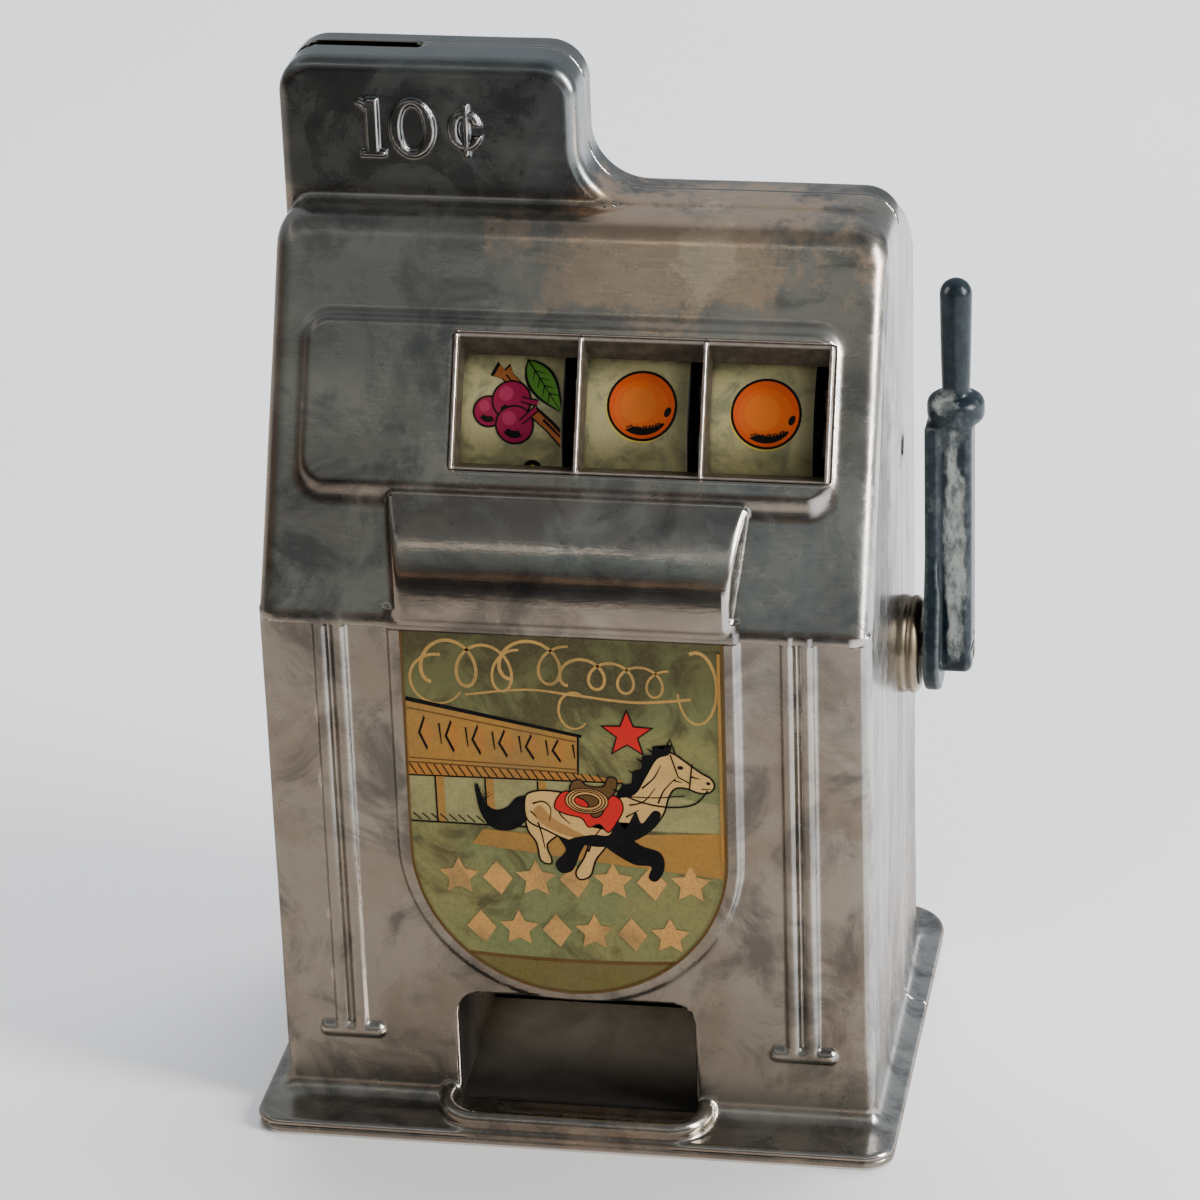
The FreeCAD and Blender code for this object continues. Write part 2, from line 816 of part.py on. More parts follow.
def base_plate():
    """The plate under the flange, with the coin plug's notched hole."""
    body = new_body("base_plate")
    side, depth = S.flange_half - S.plate_inset, S.flange_depth_half - S.plate_inset
    pad(body, "plate_block", "XY_Plane", size_of(0), S.plate_thick, rectangle(-side, -depth, side, depth))
    round_edges(body, "plate_front", S.flange_front_round,
                lambda edge: runs_along(edge, ALONG_Z) and near(edge, y=-depth))
    round_edges(body, "plate_rear", S.flange_rear_round,
                lambda edge: runs_along(edge, ALONG_Z) and near(edge, y=depth))
    round_edges(body, "plate_rim", S.plate_edge, lambda edge: near(edge, z=S.plate_thick))
    drill(body, "plug_opening", "XY_Plane", -PAST, S.plate_thick + PAST * 2,
          (S.plug_across, S.plug_depth, S.plug_hole))
    return body


def coin_plug():
    """A bayonet plug, with a wide coin-turned slot across its underside."""
    centre = (S.plug_across, S.plug_depth)
    disc = rod("plug_disc", S.plug_radius, (*centre, S.plug_foot), S.plate_thick, ALONG_Z)
    rim = rod("plug_rim_disc", S.plug_rim, (*centre, S.plate_thick + S.plug_rim_gap), S.plug_rim_thick,
              ALONG_Z)
    half = S.plug_slot_width / 2
    slot = box("plug_slot", (S.plug_across - S.plug_slot_half, S.plug_depth - half, -PAST),
               (S.plug_across + S.plug_slot_half, S.plug_depth + half, S.plug_slot_depth))
    return cut("coin_plug", fuse("plug_blank", disc, rim), slot)


def window_grille():
    """The frame with the upright bars that divide the three reel windows."""
    left, right = S.window_left, S.window_right
    foot, top = S.window_foot, S.window_top
    depth = S.grille_back + S.bar_proud
    body = new_body("window_grille")
    pad(body, "grille_block", "XY_Plane", -S.grille_back, depth, rectangle(left, foot, right, top))
    opening = (right - left - S.bar_width * 4) / 3
    for reel in REELS:
        low = left + S.bar_width + (opening + S.bar_width) * (reel - 1)
        pocket(body, f"window_{reel}", "XY_Plane", -S.grille_back - PAST, depth + PAST * 2,
               rectangle(low, foot + S.grille_border, low + opening, top - S.grille_border))
    for label, low, high in (("foot", foot - PAST, foot + S.grille_border),
                             ("top", top - S.grille_border, top + PAST)):
        pocket(body, f"grille_{label}_step", "XY_Plane", S.grille_step, S.bar_proud - S.grille_step + PAST,
               rectangle(left - PAST, low, right + PAST, high))
    return tilt(body)


def front_label():
    return shield("front_label", S.label_half, S.front_face - S.emboss - S.label_thick,
                  S.front_face - S.emboss)


# ---------------------------------------------------------------- reels

def reel_left(reel):
    return S.first_reel + S.reel_pitch * (reel - 1)


def star_left(reel):
    return reel_left(reel) + S.reel_width + S.star_offset


def on_reel_axis(x):
    return (x, S.reel_depth, S.reel_height)


def hub_length():
    return S.reel_width + S.star_offset + S.star_thick + S.hub_overhang


def reel_drum(reel):
    """An open drum: rim, web on its right side and a hub that runs on the axle."""
    left = reel_left(reel)
    radius = S.reel_radius - S.strip_thick
    rim = rod(f"rim_{reel}", radius, on_reel_axis(left), S.reel_width)
    hollow = rod(f"rim_hollow_{reel}", radius - S.rim_thick, on_reel_axis(left - PAST),
                 S.reel_width - S.web_thick + PAST)
    hub = rod(f"hub_{reel}", S.hub_radius, on_reel_axis(left), hub_length())
    bore = rod(f"bore_{reel}", S.axle_radius + S.running_gap, on_reel_axis(left - PAST),
               hub_length() + PAST * 2)
    drum = fuse(f"drum_blank_{reel}", cut(f"rim_cut_{reel}", rim, hollow), hub)
    return cut(f"reel_drum_{reel}", drum, bore)


def reel_strip(reel):
    """The printed paper band round the drum."""
    left = reel_left(reel)
    band = rod(f"band_{reel}", S.reel_radius, on_reel_axis(left), S.reel_width)
    inside = rod(f"band_inside_{reel}", S.reel_radius - S.strip_thick, on_reel_axis(left - PAST),
                 S.reel_width + PAST * 2)
    return cut(f"reel_strip_{reel}", band, inside)


def star_wheel(reel):
    """The eight-pointed stop wheel beside the drum."""
    body = new_body(f"star_wheel_{reel}")
    points = []
    for step in range(STAR_POINTS * 2):
        radius = S.star_radius if step % 2 == 0 else S.star_root
        turn = math.pi * step / STAR_POINTS
        points.append((S.reel_depth + radius * math.cos(turn), S.reel_height + radius * math.sin(turn)))
    pad(body, f"star_{reel}", "YZ_Plane", star_left(reel), S.star_thick, points)
    drill(body, f"star_bore_{reel}", "YZ_Plane", star_left(reel) - PAST, S.star_thick + PAST * 2,
          (S.reel_depth, S.reel_height, S.hub_radius))
    return body


def reel_axle():
    start = S.frame_left_at - S.axle_overhang
    end = S.frame_right_at + S.frame_thick + S.axle_overhang
    return rod("reel_axle", S.axle_radius, on_reel_axis(start), end - start)


def ring(name, outer, inner, start, length, centre):
    """A plain washer or tube along X."""
    start, length = size_of(start), size_of(length)
    return cut(name, rod(f"{name}_outer", outer, (start, *centre), length),
               rod(f"{name}_inner", inner, (start - PAST, *centre), length + PAST * 2))


def axle_clips():
    centre = (S.reel_depth, S.reel_height)
    left = ring("clip_left", S.clip_radius, S.axle_radius, S.frame_left_at - S.clip_thick, S.clip_thick,
                centre)
    right = ring("clip_right", S.clip_radius, S.axle_radius, S.frame_right_at + S.frame_thick, S.clip_thick,
                 centre)
    return group("axle_clips", left, right)


def reel_spacers():
    """Washers that keep the reels apart, and longer ones beside the frame."""
    centre = (S.reel_depth, S.reel_height)
    first = S.frame_left_at + S.frame_thick
    spans = [(first, reel_left(1) - first - S.hub_gap)]
    spans += [(reel_left(reel) + hub_length() + S.hub_gap, S.spacer_thick) for reel in REELS[:-1]]
    last = reel_left(REELS[-1]) + hub_length() + S.hub_gap
    spans.append((last, S.frame_right_at - last))
    pieces = [ring(f"spacer_{index}", S.spacer_radius, S.axle_radius, start, length, centre)
              for index, (start, length) in enumerate(spans)]
    return group("reel_spacers", *pieces)


# ---------------------------------------------------------------- mechanism

def rod_places():
    """Depth and height of the three rods that tie the frame plates together."""
    return [(S.front_rod_depth, S.front_rod_height), (S.rear_rod_depth, S.rear_rod_height),
            (S.top_rod_depth, S.top_rod_height)]


def frame_plate(name, left):
    """A side plate of the mechanism, standing on the deck."""
    body = new_body(name)
    deck = S.deck_height + S.sheet
    points = [
        (S.frame_front, deck),
        (S.frame_rear_foot, deck),
        (S.frame_rear, S.frame_rear_low),
        (S.frame_rear, S.frame_rear_high),
        (S.frame_shoulder_rear, S.frame_shoulder),
        (S.frame_top_rear, S.frame_top),
        (S.frame_top_front, S.frame_shoulder),
        (S.frame_front, S.frame_front_high),
    ]
    pad(body, f"{name}_plate", "YZ_Plane", left, S.frame_thick, points)
    holes = [(S.reel_depth, S.reel_height, S.axle_radius), (S.seam, S.shaft_height, S.bush_radius)]
    for depth, height in rod_places() + [(S.detent_depth, S.detent_height)]:
        holes.append((depth, height, S.rod_radius))
    for index, hole in enumerate(holes):
        drill(body, f"{name}_hole_{index}", "YZ_Plane", left - PAST, S.frame_thick + PAST * 2, hole)
    return body


def cross_rod(name, depth, height):
    start = S.frame_left_at - S.rod_overhang
    end = S.frame_right_at + S.frame_thick + S.rod_overhang
    return rod(name, S.rod_radius, (start, depth, height), end - start)


def cross_rods():
    return group("cross_rods", *[cross_rod(f"cross_rod_{index}", depth, height)
                                 for index, (depth, height) in enumerate(rod_places())])


def detent_springs():
    """One leaf for each star wheel, from the detent bar to just short of the points."""
    rise = S.reel_height.value - S.detent_height.value
    run = S.detent_depth.value - S.reel_depth.value
    span = math.hypot(rise, run)
    lean = math.degrees(math.atan2(rise, -run))
    length = span - S.star_radius.value - S.leaf_gap.value - S.rod_radius.value
    pieces = []
    for reel in REELS:
        leaf = doc.addObject("Part::Box", f"leaf_{reel}")
        bind(leaf, "Length", S.leaf_width)
        bind(leaf, "Width", size_of(length))
        bind(leaf, "Height", S.leaf_thick)
        start = S.rod_radius.value
        turn = math.radians(lean)
        place(leaf, (star_left(reel) + S.hub_gap, S.detent_depth + start * math.cos(turn),
                     S.detent_height + start * math.sin(turn)), ALONG_X, lean)
        pieces.append(leaf)
    return group("detent_springs", *pieces)


def mechanism_deck():
    """The shelf between the mechanism and the cash space, lipped down at front and back."""
    side = S.body_half - S.sheet - S.deck_gap
    front, rear = S.front_face + S.sheet, S.rear_face - S.sheet
    under, top = S.deck_height, S.deck_height + S.sheet
    foot = under - S.deck_lip
    plate = box("deck_plate", (-side, front, under), (side, rear, top))
    lips = [box("deck_front_lip", (-side, front, foot), (side, front + S.deck_lip_thick, under)),
            box("deck_rear_lip", (-side, rear - S.deck_lip_thick, foot), (side, rear, under))]
    hole = box("deck_coin_hole", (S.chute_left + PAST, S.chute_front - PAST, under - PAST),
               (S.chute_right - PAST, S.chute_rear + PAST, top + PAST))
    screws = [rod(f"deck_hole_{name}", S.screw_radius + S.running_gap,
                  (S.post_side * sign, rear - S.deck_lip_thick - PAST, under - S.lip_screw_drop),
                  S.deck_lip_thick + PAST * 2, ALONG_Y)
              for name, sign in SIDES]
    return cut("mechanism_deck", fuse("deck_blank", plate, *lips), hole, *screws)


def on_shaft(x):
    return (x, S.seam, S.shaft_height)


def shaft_bushes():
    pieces = []
    for label, left in (("left", S.frame_left_at), ("right", S.frame_right_at)):
        pieces.append(ring(f"bush_{label}", S.bush_radius, S.shaft_radius + S.running_gap,
                           left - S.bush_overhang, S.frame_thick + S.bush_overhang * 2,
                           (S.seam, S.shaft_height)))
    return group("shaft_bushes", *pieces)


def handle_shaft():
    start = S.frame_left_at - S.shaft_overhang
    return rod("handle_shaft", S.shaft_radius, on_shaft(start), S.lever_outer - S.shaft_seat - start)


def shaft_clip():
    end = S.frame_left_at - S.bush_overhang * 2
    return ring("shaft_clip", S.shaft_clip_radius, S.shaft_radius, end - S.shaft_clip_thick,
                S.shaft_clip_thick, (S.seam, S.shaft_height))


def kicker():
    """A tube on the shaft, with one finger for each star wheel."""
    left = star_left(REELS[0]) - S.kicker_margin
    length = star_left(REELS[-1]) + S.star_thick + S.hub_gap - left
    tube = rod("kicker_tube", S.bush_radius, on_shaft(left), length)
    fingers = []
    lean = math.radians(S.finger_lean.value)
    tip = (S.seam + S.finger_reach * math.sin(lean), S.shaft_height + S.finger_reach * math.cos(lean))
    across = (math.cos(lean), -math.sin(lean))
    for reel in REELS:
        body = new_body(f"finger_{reel}")
        points = []
        for centre, half in (((S.seam, S.shaft_height), S.finger_root), (tip, S.finger_tip)):
            points.append([(centre[0] + half * across[0] * side, centre[1] + half * across[1] * side)
                           for side in (-1, 1)])
        corners = [points[0][0], points[0][1], points[1][1], points[1][0]]
        pad(body, f"finger_plate_{reel}", "YZ_Plane", star_left(reel) + S.hub_gap, S.finger_thick, corners)
        fingers.append(body)
    bore = rod("kicker_bore", S.shaft_radius, on_shaft(left - PAST), length + PAST * 2)
    return cut("kicker", fuse("kicker_blank", tube, *fingers), bore)


def return_spring():
    """A round-wire torsion spring about the shaft, beside the left frame plate."""
    pitch, turns = S.spring_pitch.value, S.spring_turns.value
    radius, wire_radius = S.spring_radius.value, S.spring_wire.value
    helix = Part.makeHelix(pitch, pitch * turns, radius)
    start = Vector(radius, 0, 0)
    section = Part.Wire(Part.makeCircle(wire_radius, start, Vector(0, 1, pitch / (2 * math.pi * radius))))
    coil = Part.Wire(helix.Edges).makePipeShell([section], True, True)
    item = doc.addObject("Part::Feature", "return_spring")
    item.Shape = coil
    left = S.frame_left_at + S.frame_thick + S.bush_overhang + PAST
    return place(item, on_shaft(left), ALONG_Y, 90)


def handle_boss():
    """The bush on the right wall, a thick disc with a neck through the wall."""
    disc = rod("boss_disc", S.boss_radius, on_shaft(S.body_half), S.boss_face - S.body_half)
    inside = S.body_half - S.boss_neck_depth
    neck = rod("boss_neck_tube", S.boss_neck, on_shaft(inside), S.boss_face - inside)
    bore = rod("boss_bore", S.shaft_radius + S.running_gap, on_shaft(inside - PAST),
               S.boss_face - inside + PAST * 2)
    blank = fuse("boss_blank", disc, neck)
    doc.recompute()
    rounded = doc.addObject("Part::Fillet", "boss_rounded")
    rounded.Base = blank
    edges = [index for index, edge in enumerate(blank.Shape.Edges, start=1)
             if isinstance(edge.Curve, Part.Circle) and near_face(edge, S.boss_face, S.boss_radius)]
    rounded.Edges = [(index, S.boss_edge.value, S.boss_edge.value) for index in edges]
    return cut("handle_boss", rounded, bore)


def near_face(edge, x, radius):
    """True for the circle of the given radius on the plane at x."""
    return abs(edge.Curve.Center.x - x.value) < SAME and abs(edge.Curve.Radius - radius.value) < SAME


def screw_seat():
    """How far across the handle screw's head lies, just below the arm's outer face."""
    return S.lever_outer - S.lever_screw_set - S.lever_screw_thick


def handle_lever():
    """The casting: pivot plate, square arm, round collar and a rod grip with a domed end."""
    plate = new_body("lever_plate")
    taper = S.arm_depth / 2
    foot = S.shaft_height - S.lever_round
    pad(plate, "lever_plate_block", "YZ_Plane", S.lever_inner, S.lever_plate,
        [(S.seam - S.lever_round * 0.62, foot), (S.seam + S.lever_round * 0.62, foot),
         (S.seam + S.lever_round * 0.75, S.shaft_height), (S.seam + taper, S.lever_taper_foot),
         (S.seam + taper, S.arm_top), (S.seam - taper, S.arm_top), (S.seam - taper, S.lever_taper_foot),
         (S.seam - S.lever_round * 0.75, S.shaft_height)])
    round_edges(plate, "lever_plate_foot", S.lever_foot_round,
                lambda edge: runs_along(edge, ALONG_X) and near(edge, z=foot))
    arm = new_body("lever_arm")
    pad(arm, "lever_arm_block", "YZ_Plane", S.lever_inner + S.lever_plate,
        S.lever_outer - S.lever_inner - S.lever_plate,
        rectangle(S.seam - taper, S.arm_foot, S.seam + taper, S.arm_top))
    round_edges(arm, "lever_arm_foot", S.arm_foot_round,
                lambda edge: near(edge, z=S.arm_foot) and runs_along(edge, ALONG_Y))
    centre = (S.grip_middle, S.seam)
    collar = rod("lever_collar", S.collar_radius, (*centre, S.arm_top), S.collar_top - S.arm_top, ALONG_Z)
    grip = doc.addObject("Part::Cone", "lever_grip")
    bind(grip, "Radius1", S.grip_foot_radius)
    bind(grip, "Radius2", S.grip_top_radius)
    bind(grip, "Height", S.grip_top - S.grip_top_radius - S.collar_top)
    place(grip, (*centre, S.collar_top))
    dome = ball("lever_dome", S.grip_top_radius, (*centre, S.grip_top - S.grip_top_radius))
    bore = rod("lever_bore", S.shaft_radius, on_shaft(S.lever_inner - PAST),
               S.lever_outer - S.lever_inner + PAST * 2)
    seat = rod("lever_screw_seat", S.lever_screw_head + S.running_gap, on_shaft(screw_seat()),
               S.lever_outer - screw_seat() + PAST)
    return cut("handle_lever", fuse("lever_blank", plate, arm, collar, grip, dome), bore, seat)


def handle_screw():
    seat = screw_seat()
    head = rod("lever_screw_head", S.lever_screw_head, on_shaft(seat), S.lever_screw_thick)
    shank = rod("lever_screw_shank", S.shaft_radius, on_shaft(S.lever_outer - S.shaft_seat),
                seat - S.lever_outer + S.shaft_seat)
    across, half = S.lever_screw_head + PAST, S.screw_slot / 2
    slot = box("lever_screw_slot",
               (seat + S.lever_screw_thick / 2, S.seam - across, S.shaft_height - half),
               (seat + S.lever_screw_thick + PAST, S.seam + across, S.shaft_height + half))
    return cut("handle_screw", fuse("lever_screw_blank", head, shank), slot)


# ---------------------------------------------------------------- coin path and payout

def coin_chute():
    """A flat tube from the slot down to the deck, with a side window for the trip lever."""
    outer = box("chute_outer", (S.chute_left, S.chute_front, S.chute_foot),
                (S.chute_right, S.chute_rear, S.chute_top))
    inner = box("chute_inner",
                (S.chute_left + S.chute_wall, S.chute_front + S.chute_wall, S.chute_foot - PAST),
                (S.chute_right - S.chute_wall, S.chute_rear - S.chute_wall, S.chute_top + PAST))
    window = box("chute_window",
                 (S.chute_right - S.chute_wall - PAST, S.chute_front - PAST,
                  S.trip_height - S.trip_window_below),
                 (S.chute_right + PAST, S.chute_rear + PAST, S.trip_height + S.trip_window_above))
    return cut("coin_chute", outer, inner, window)


def chute_middle():
    return (S.chute_front + S.chute_rear) / 2


def lever_bracket():
    """A small clevis on the left frame plate for the trip lever."""
    middle = chute_middle()
    right = S.frame_left_at
    half, thick = S.bracket_half, S.bracket_thick
    back = box("bracket_back", (right - thick, middle - half, S.trip_height - S.bracket_rise),
               (right, middle + half, S.trip_height + S.bracket_rise))
    ears = [box(f"bracket_ear_{name}", (S.trip_pivot - S.ear_reach, low, S.trip_height - S.ear_rise),
                (right, low + thick, S.trip_height + S.ear_rise))
            for name, low in (("front", middle - half), ("rear", middle + half - thick))]
    hole = rod("bracket_hole", S.trip_pin_radius, (S.trip_pivot, middle - half - PAST, S.trip_height),
               half * 2 + PAST * 2, ALONG_Y)
    return cut("lever_bracket", fuse("bracket_blank", back, *ears), hole)


def lever_pin():
    reach = S.bracket_half + S.running_gap * 10
    return rod("lever_pin", S.trip_pin_radius, (S.trip_pivot, chute_middle() - reach, S.trip_height),
               reach * 2, ALONG_Y)


def coin_trip_lever():
    """The finger that a falling coin presses down."""
    middle = chute_middle()
    half = S.trip_thick / 2
    hub = rod("trip_hub", S.trip_hub_radius, (S.trip_pivot, middle - half, S.trip_height),
              S.trip_thick, ALONG_Y)
    arm = box("trip_arm", (S.trip_pivot - S.trip_reach, middle - half, S.trip_height - half),
              (S.trip_pivot, middle + half, S.trip_height + half))
    bore = rod("trip_bore", S.trip_pin_radius + S.running_gap,
               (S.trip_pivot, middle - half - PAST, S.trip_height), S.trip_thick + PAST * 2, ALONG_Y)
    return cut("coin_trip_lever", fuse("trip_blank", hub, arm), bore)


def payout_tunnel():
    """The coin tray behind the mouth: walls, roof and a floor that rises to the gate."""
    side = S.mouth_half
    wall = S.tunnel_wall
    front, rear = S.front_face + S.sheet, S.tunnel_rear
    floor = new_body("tunnel_floor")
    low, high = S.flange_top - wall / 2, S.flange_top + S.tunnel_rise
    pad(floor, "tunnel_floor_plate", "YZ_Plane", -side, side * 2,
        [(front, low), (rear, low), (rear, high), (front, low + wall)])
    top = S.mouth_top + S.plate_inset
    sides = (("left", -side - wall, -side), ("right", side, side + wall))
    walls = [box(f"tunnel_wall_{name}", (low_x, front, low), (high_x, rear, top))
             for name, low_x, high_x in sides]
    ears = [box(f"tunnel_ear_{name}", (low_x, rear, S.gate_pin_height - S.gate_ear + PAST),
                (high_x, rear + S.gate_ear, top))
            for name, low_x, high_x in sides]
    roof = box("tunnel_roof", (-side - wall, front, top), (side + wall, rear, top + wall))
    reach = side + wall + PAST
    hole = rod("tunnel_pin_hole", S.gate_pin_radius, (-reach, S.gate_pin_depth, S.gate_pin_height),
               reach * 2)
    return cut("payout_tunnel", fuse("tunnel_blank", floor, roof, *walls, *ears), hole)


def payout_gate():
    """The flap that closes the back of the tray, hung on its top edge."""
    side = S.mouth_half - S.gate_gap
    centre = (S.gate_pin_depth, S.gate_pin_height)
    face = S.gate_pin_depth - S.gate_set
    flap = box("gate_flap", (-side, face, S.flange_top + S.tunnel_rise + S.gate_gap),
               (side, face + S.gate_thick, S.gate_pin_height))
    barrel = rod("gate_barrel_tube", S.gate_barrel, (-side, *centre), side * 2)
    bore = rod("gate_bore", S.gate_pin_radius + S.running_gap, (-side - PAST, *centre), side * 2 + PAST * 2)
    return cut("payout_gate", fuse("gate_blank", flap, barrel), bore)


def gate_pin():
    reach = S.mouth_half + S.tunnel_wall * 2
    return rod("gate_pin", S.gate_pin_radius, (-reach, S.gate_pin_depth, S.gate_pin_height), reach * 2)


# ---------------------------------------------------------------- whole object

def build_nodes():
    """Every separate piece, in the order in which a bench would lay them out."""
    front, rear = shells()
    nodes = [front, rear, base_plate(), coin_plug(), window_grille(), front_label(), case_screws(),
             screw_posts(), mechanism_deck()]
    for reel in REELS:
        nodes += [reel_drum(reel), reel_strip(reel), star_wheel(reel)]
    nodes += [reel_axle(), axle_clips(), reel_spacers()]
    nodes += [frame_plate("frame_left", S.frame_left_at), frame_plate("frame_right", S.frame_right_at)]
    nodes += [cross_rods(), cross_rod("detent_bar", S.detent_depth, S.detent_height), detent_springs()]
    nodes += [shaft_bushes(), handle_shaft(), shaft_clip(), kicker(), return_spring()]
    nodes += [handle_boss(), handle_lever(), handle_screw()]
    nodes += [coin_chute(), lever_bracket(), lever_pin(), coin_trip_lever()]
    nodes += [payout_tunnel(), payout_gate(), gate_pin()]
    return nodes


def check_document(nodes):
    """Stop if any object failed, or any node is empty or invalid."""
    for item in doc.Objects:
        if "Invalid" in item.State or "Error" in item.State:
            raise RuntimeError(f"{item.Label} failed: {item.State}")
    for node in nodes:
        if node.Shape.isNull() or not node.Shape.isValid() or not node.Shape.Solids:
            raise RuntimeError(f"{node.Label} has no valid solid")


def write_nodes(nodes):
    os.makedirs("parts", exist_ok=True)
    for node in nodes:
        node.Shape.exportStep(f"parts/{node.Label}.step")
        bounds = node.Shape.BoundBox
        print(f"{node.Label:18} solids {len(node.Shape.Solids)}  volume {node.Shape.Volume:9.1f}"
              f"  x {bounds.XMin:7.2f} {bounds.XMax:7.2f}  y {bounds.YMin:7.2f} {bounds.YMax:7.2f}"
              f"  z {bounds.ZMin:7.2f} {bounds.ZMax:7.2f}")


nodes = build_nodes()
doc.recompute()
check_document(nodes)
write_nodes(nodes)
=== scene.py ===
import functools
import math

import bmesh
import bpy
import numpy as np
from mathutils import Matrix, Vector


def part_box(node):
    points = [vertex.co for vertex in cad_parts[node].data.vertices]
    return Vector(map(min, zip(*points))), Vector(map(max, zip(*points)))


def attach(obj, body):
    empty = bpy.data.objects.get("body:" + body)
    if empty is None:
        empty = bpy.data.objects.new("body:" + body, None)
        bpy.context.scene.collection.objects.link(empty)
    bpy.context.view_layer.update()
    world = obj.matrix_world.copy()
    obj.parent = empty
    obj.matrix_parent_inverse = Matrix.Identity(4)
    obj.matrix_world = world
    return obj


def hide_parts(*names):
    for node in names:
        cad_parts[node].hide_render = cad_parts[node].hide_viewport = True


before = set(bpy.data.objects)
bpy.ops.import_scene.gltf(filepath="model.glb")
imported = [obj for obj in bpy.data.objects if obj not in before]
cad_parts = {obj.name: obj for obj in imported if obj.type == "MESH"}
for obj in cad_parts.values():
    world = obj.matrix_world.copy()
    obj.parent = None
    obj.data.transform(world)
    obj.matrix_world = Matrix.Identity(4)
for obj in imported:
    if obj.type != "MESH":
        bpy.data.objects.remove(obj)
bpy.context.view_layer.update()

MM = 0.001


def millimetres(node):
    """A node's lowest and highest corners, in millimetres."""
    low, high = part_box(node)
    return np.array(low) / MM, np.array(high) / MM


# ---------------------------------------------------------------- sizes, in millimetres
# Distance fields below are written in millimetres in the row frame, and meshes are made in metres.

SHELL_LOW, SHELL_HIGH = millimetres("front_shell")
LABEL_LOW, LABEL_HIGH = millimetres("front_label")
DECK_LOW, DECK_HIGH = millimetres("mechanism_deck")
GRILLE_LOW, GRILLE_HIGH = millimetres("window_grille")
BOSS_LOW, BOSS_HIGH = millimetres("handle_boss")
LEVER_LOW, LEVER_HIGH = millimetres("handle_lever")
SCREW_LOW, SCREW_HIGH = millimetres("handle_screw")
STRIP_LOW, STRIP_HIGH = millimetres("reel_strip_1")
REEL_PITCH = millimetres("reel_strip_2")[0][0] - STRIP_LOW[0]

SHEET = 1.0
FRONT = DECK_LOW[1] - SHEET
BACK = DECK_HIGH[1] + SHEET
HALF = 50.0
SEAM = SHELL_HIGH[1]
SEAM_GAP = 0.08
TOP = SHELL_HIGH[2]
FLANGE_HALF = SHELL_HIGH[0]
FLANGE_DEPTH = millimetres("rear_shell")[1][1]
FLANGE_FOOT = SHELL_LOW[2]
FLANGE_TOP = 2.8
FLANGE_CLEAR = 6
LIP = 91.0
SLOPE_FOOT = 92.65
LIP_REACH = 1.05
RIDGE_DEPTH = -6.2
SHELF = 151.7
TOWER_FACE = 0.05
TOWER_SIDE = -0.8
CREST_BACK = 14.6
SLOPE_RUN = RIDGE_DEPTH - FRONT + LIP_REACH
SLOPE_RISE = SHELF - SLOPE_FOOT
SLOPE_SIN = SLOPE_RUN / math.hypot(SLOPE_RUN, SLOPE_RISE)
SLOPE_COS = SLOPE_RISE / math.hypot(SLOPE_RUN, SLOPE_RISE)
SHIELD_HALF = LABEL_HIGH[0] + 1.9
SHIELD_MIDDLE = LABEL_LOW[2] + LABEL_HIGH[0]
EMBOSS = 0.8
SHAFT_DEPTH = SEAM
SHAFT_HEIGHT = (BOSS_LOW[2] + BOSS_HIGH[2]) / 2
REEL_RADIUS = (STRIP_HIGH[2] - STRIP_LOW[2]) / 2
REEL_DEPTH = (STRIP_HIGH[1] + STRIP_LOW[1]) / 2
REEL_HEIGHT = (STRIP_HIGH[2] + STRIP_LOW[2]) / 2
WINDOW_LEFT, WINDOW_RIGHT = GRILLE_LOW[0], GRILLE_HIGH[0]
WINDOW_FOOT, WINDOW_TOP = 24.3, 46.4
WINDOW_X, WINDOW_UP = (WINDOW_LEFT + WINDOW_RIGHT) / 2, (WINDOW_FOOT + WINDOW_TOP) / 2
WINDOW_HALF_X, WINDOW_HALF_UP = (WINDOW_RIGHT - WINDOW_LEFT) / 2, (WINDOW_TOP - WINDOW_FOOT) / 2
MOUTH_HALF, MOUTH_TOP, MOUTH_CORNER = 20.0, 23.5, 4.0
RIBS = (36.65, 39.75)
RIB_FOOT, RIB_RADIUS = 16.5, 1.25
SLOT_X, SLOT_Y, SLOT_HALF_X, SLOT_HALF_Y, SLOT_FLOOR = -41.5, 8.0, 14.0, 1.25, 167.0
PAPER_EDGE = 0.05
PICTURES = 8
REEL_PRINT_LIFT, REEL_LAYER = 0.03, 0.006
LABEL_PRINT_LIFT, LABEL_LAYER = 0.02, 0.0012


# ---------------------------------------------------------------- distance fields

def both(*forms):
    """The space that lies in every one of the forms."""
    return functools.reduce(np.maximum, forms)


def either(*forms):
    """The space that lies in any of the forms."""
    return functools.reduce(np.minimum, forms)


def meet(a, b, radius):
    """Both forms at once, with a round edge between them."""
    return np.minimum(-radius, np.maximum(a, b)) + np.hypot(np.maximum(radius + a, 0), np.maximum(radius + b, 0))


def join(a, b, radius):
    """Either form, with a hollow fillet between them."""
    return np.maximum(radius, np.minimum(a, b)) - np.hypot(np.maximum(radius - a, 0), np.maximum(radius - b, 0))


def carve(a, b, radius):
    """The first form less the second, with a round edge."""
    return meet(a, -b, radius)


def rounded_box(x, y, half_x, half_y, radius):
    """A flat rectangle with round corners, centred on the origin."""
    dx = np.abs(x) - half_x + radius
    dy = np.abs(y) - half_y + radius
    return np.hypot(np.maximum(dx, 0), np.maximum(dy, 0)) + np.minimum(np.maximum(dx, dy), 0) - radius


def segment(x, y, z, start, end, radius):
    """A round bar with domed ends between two points."""
    start, end = np.array(start, float), np.array(end, float)
    along = end - start
    px, py, pz = x - start[0], y - start[1], z - start[2]
    share = np.clip((px * along[0] + py * along[1] + pz * along[2]) / along.dot(along), 0, 1)
    return np.sqrt((px - share * along[0]) ** 2 + (py - share * along[1]) ** 2
                   + (pz - share * along[2]) ** 2) - radius


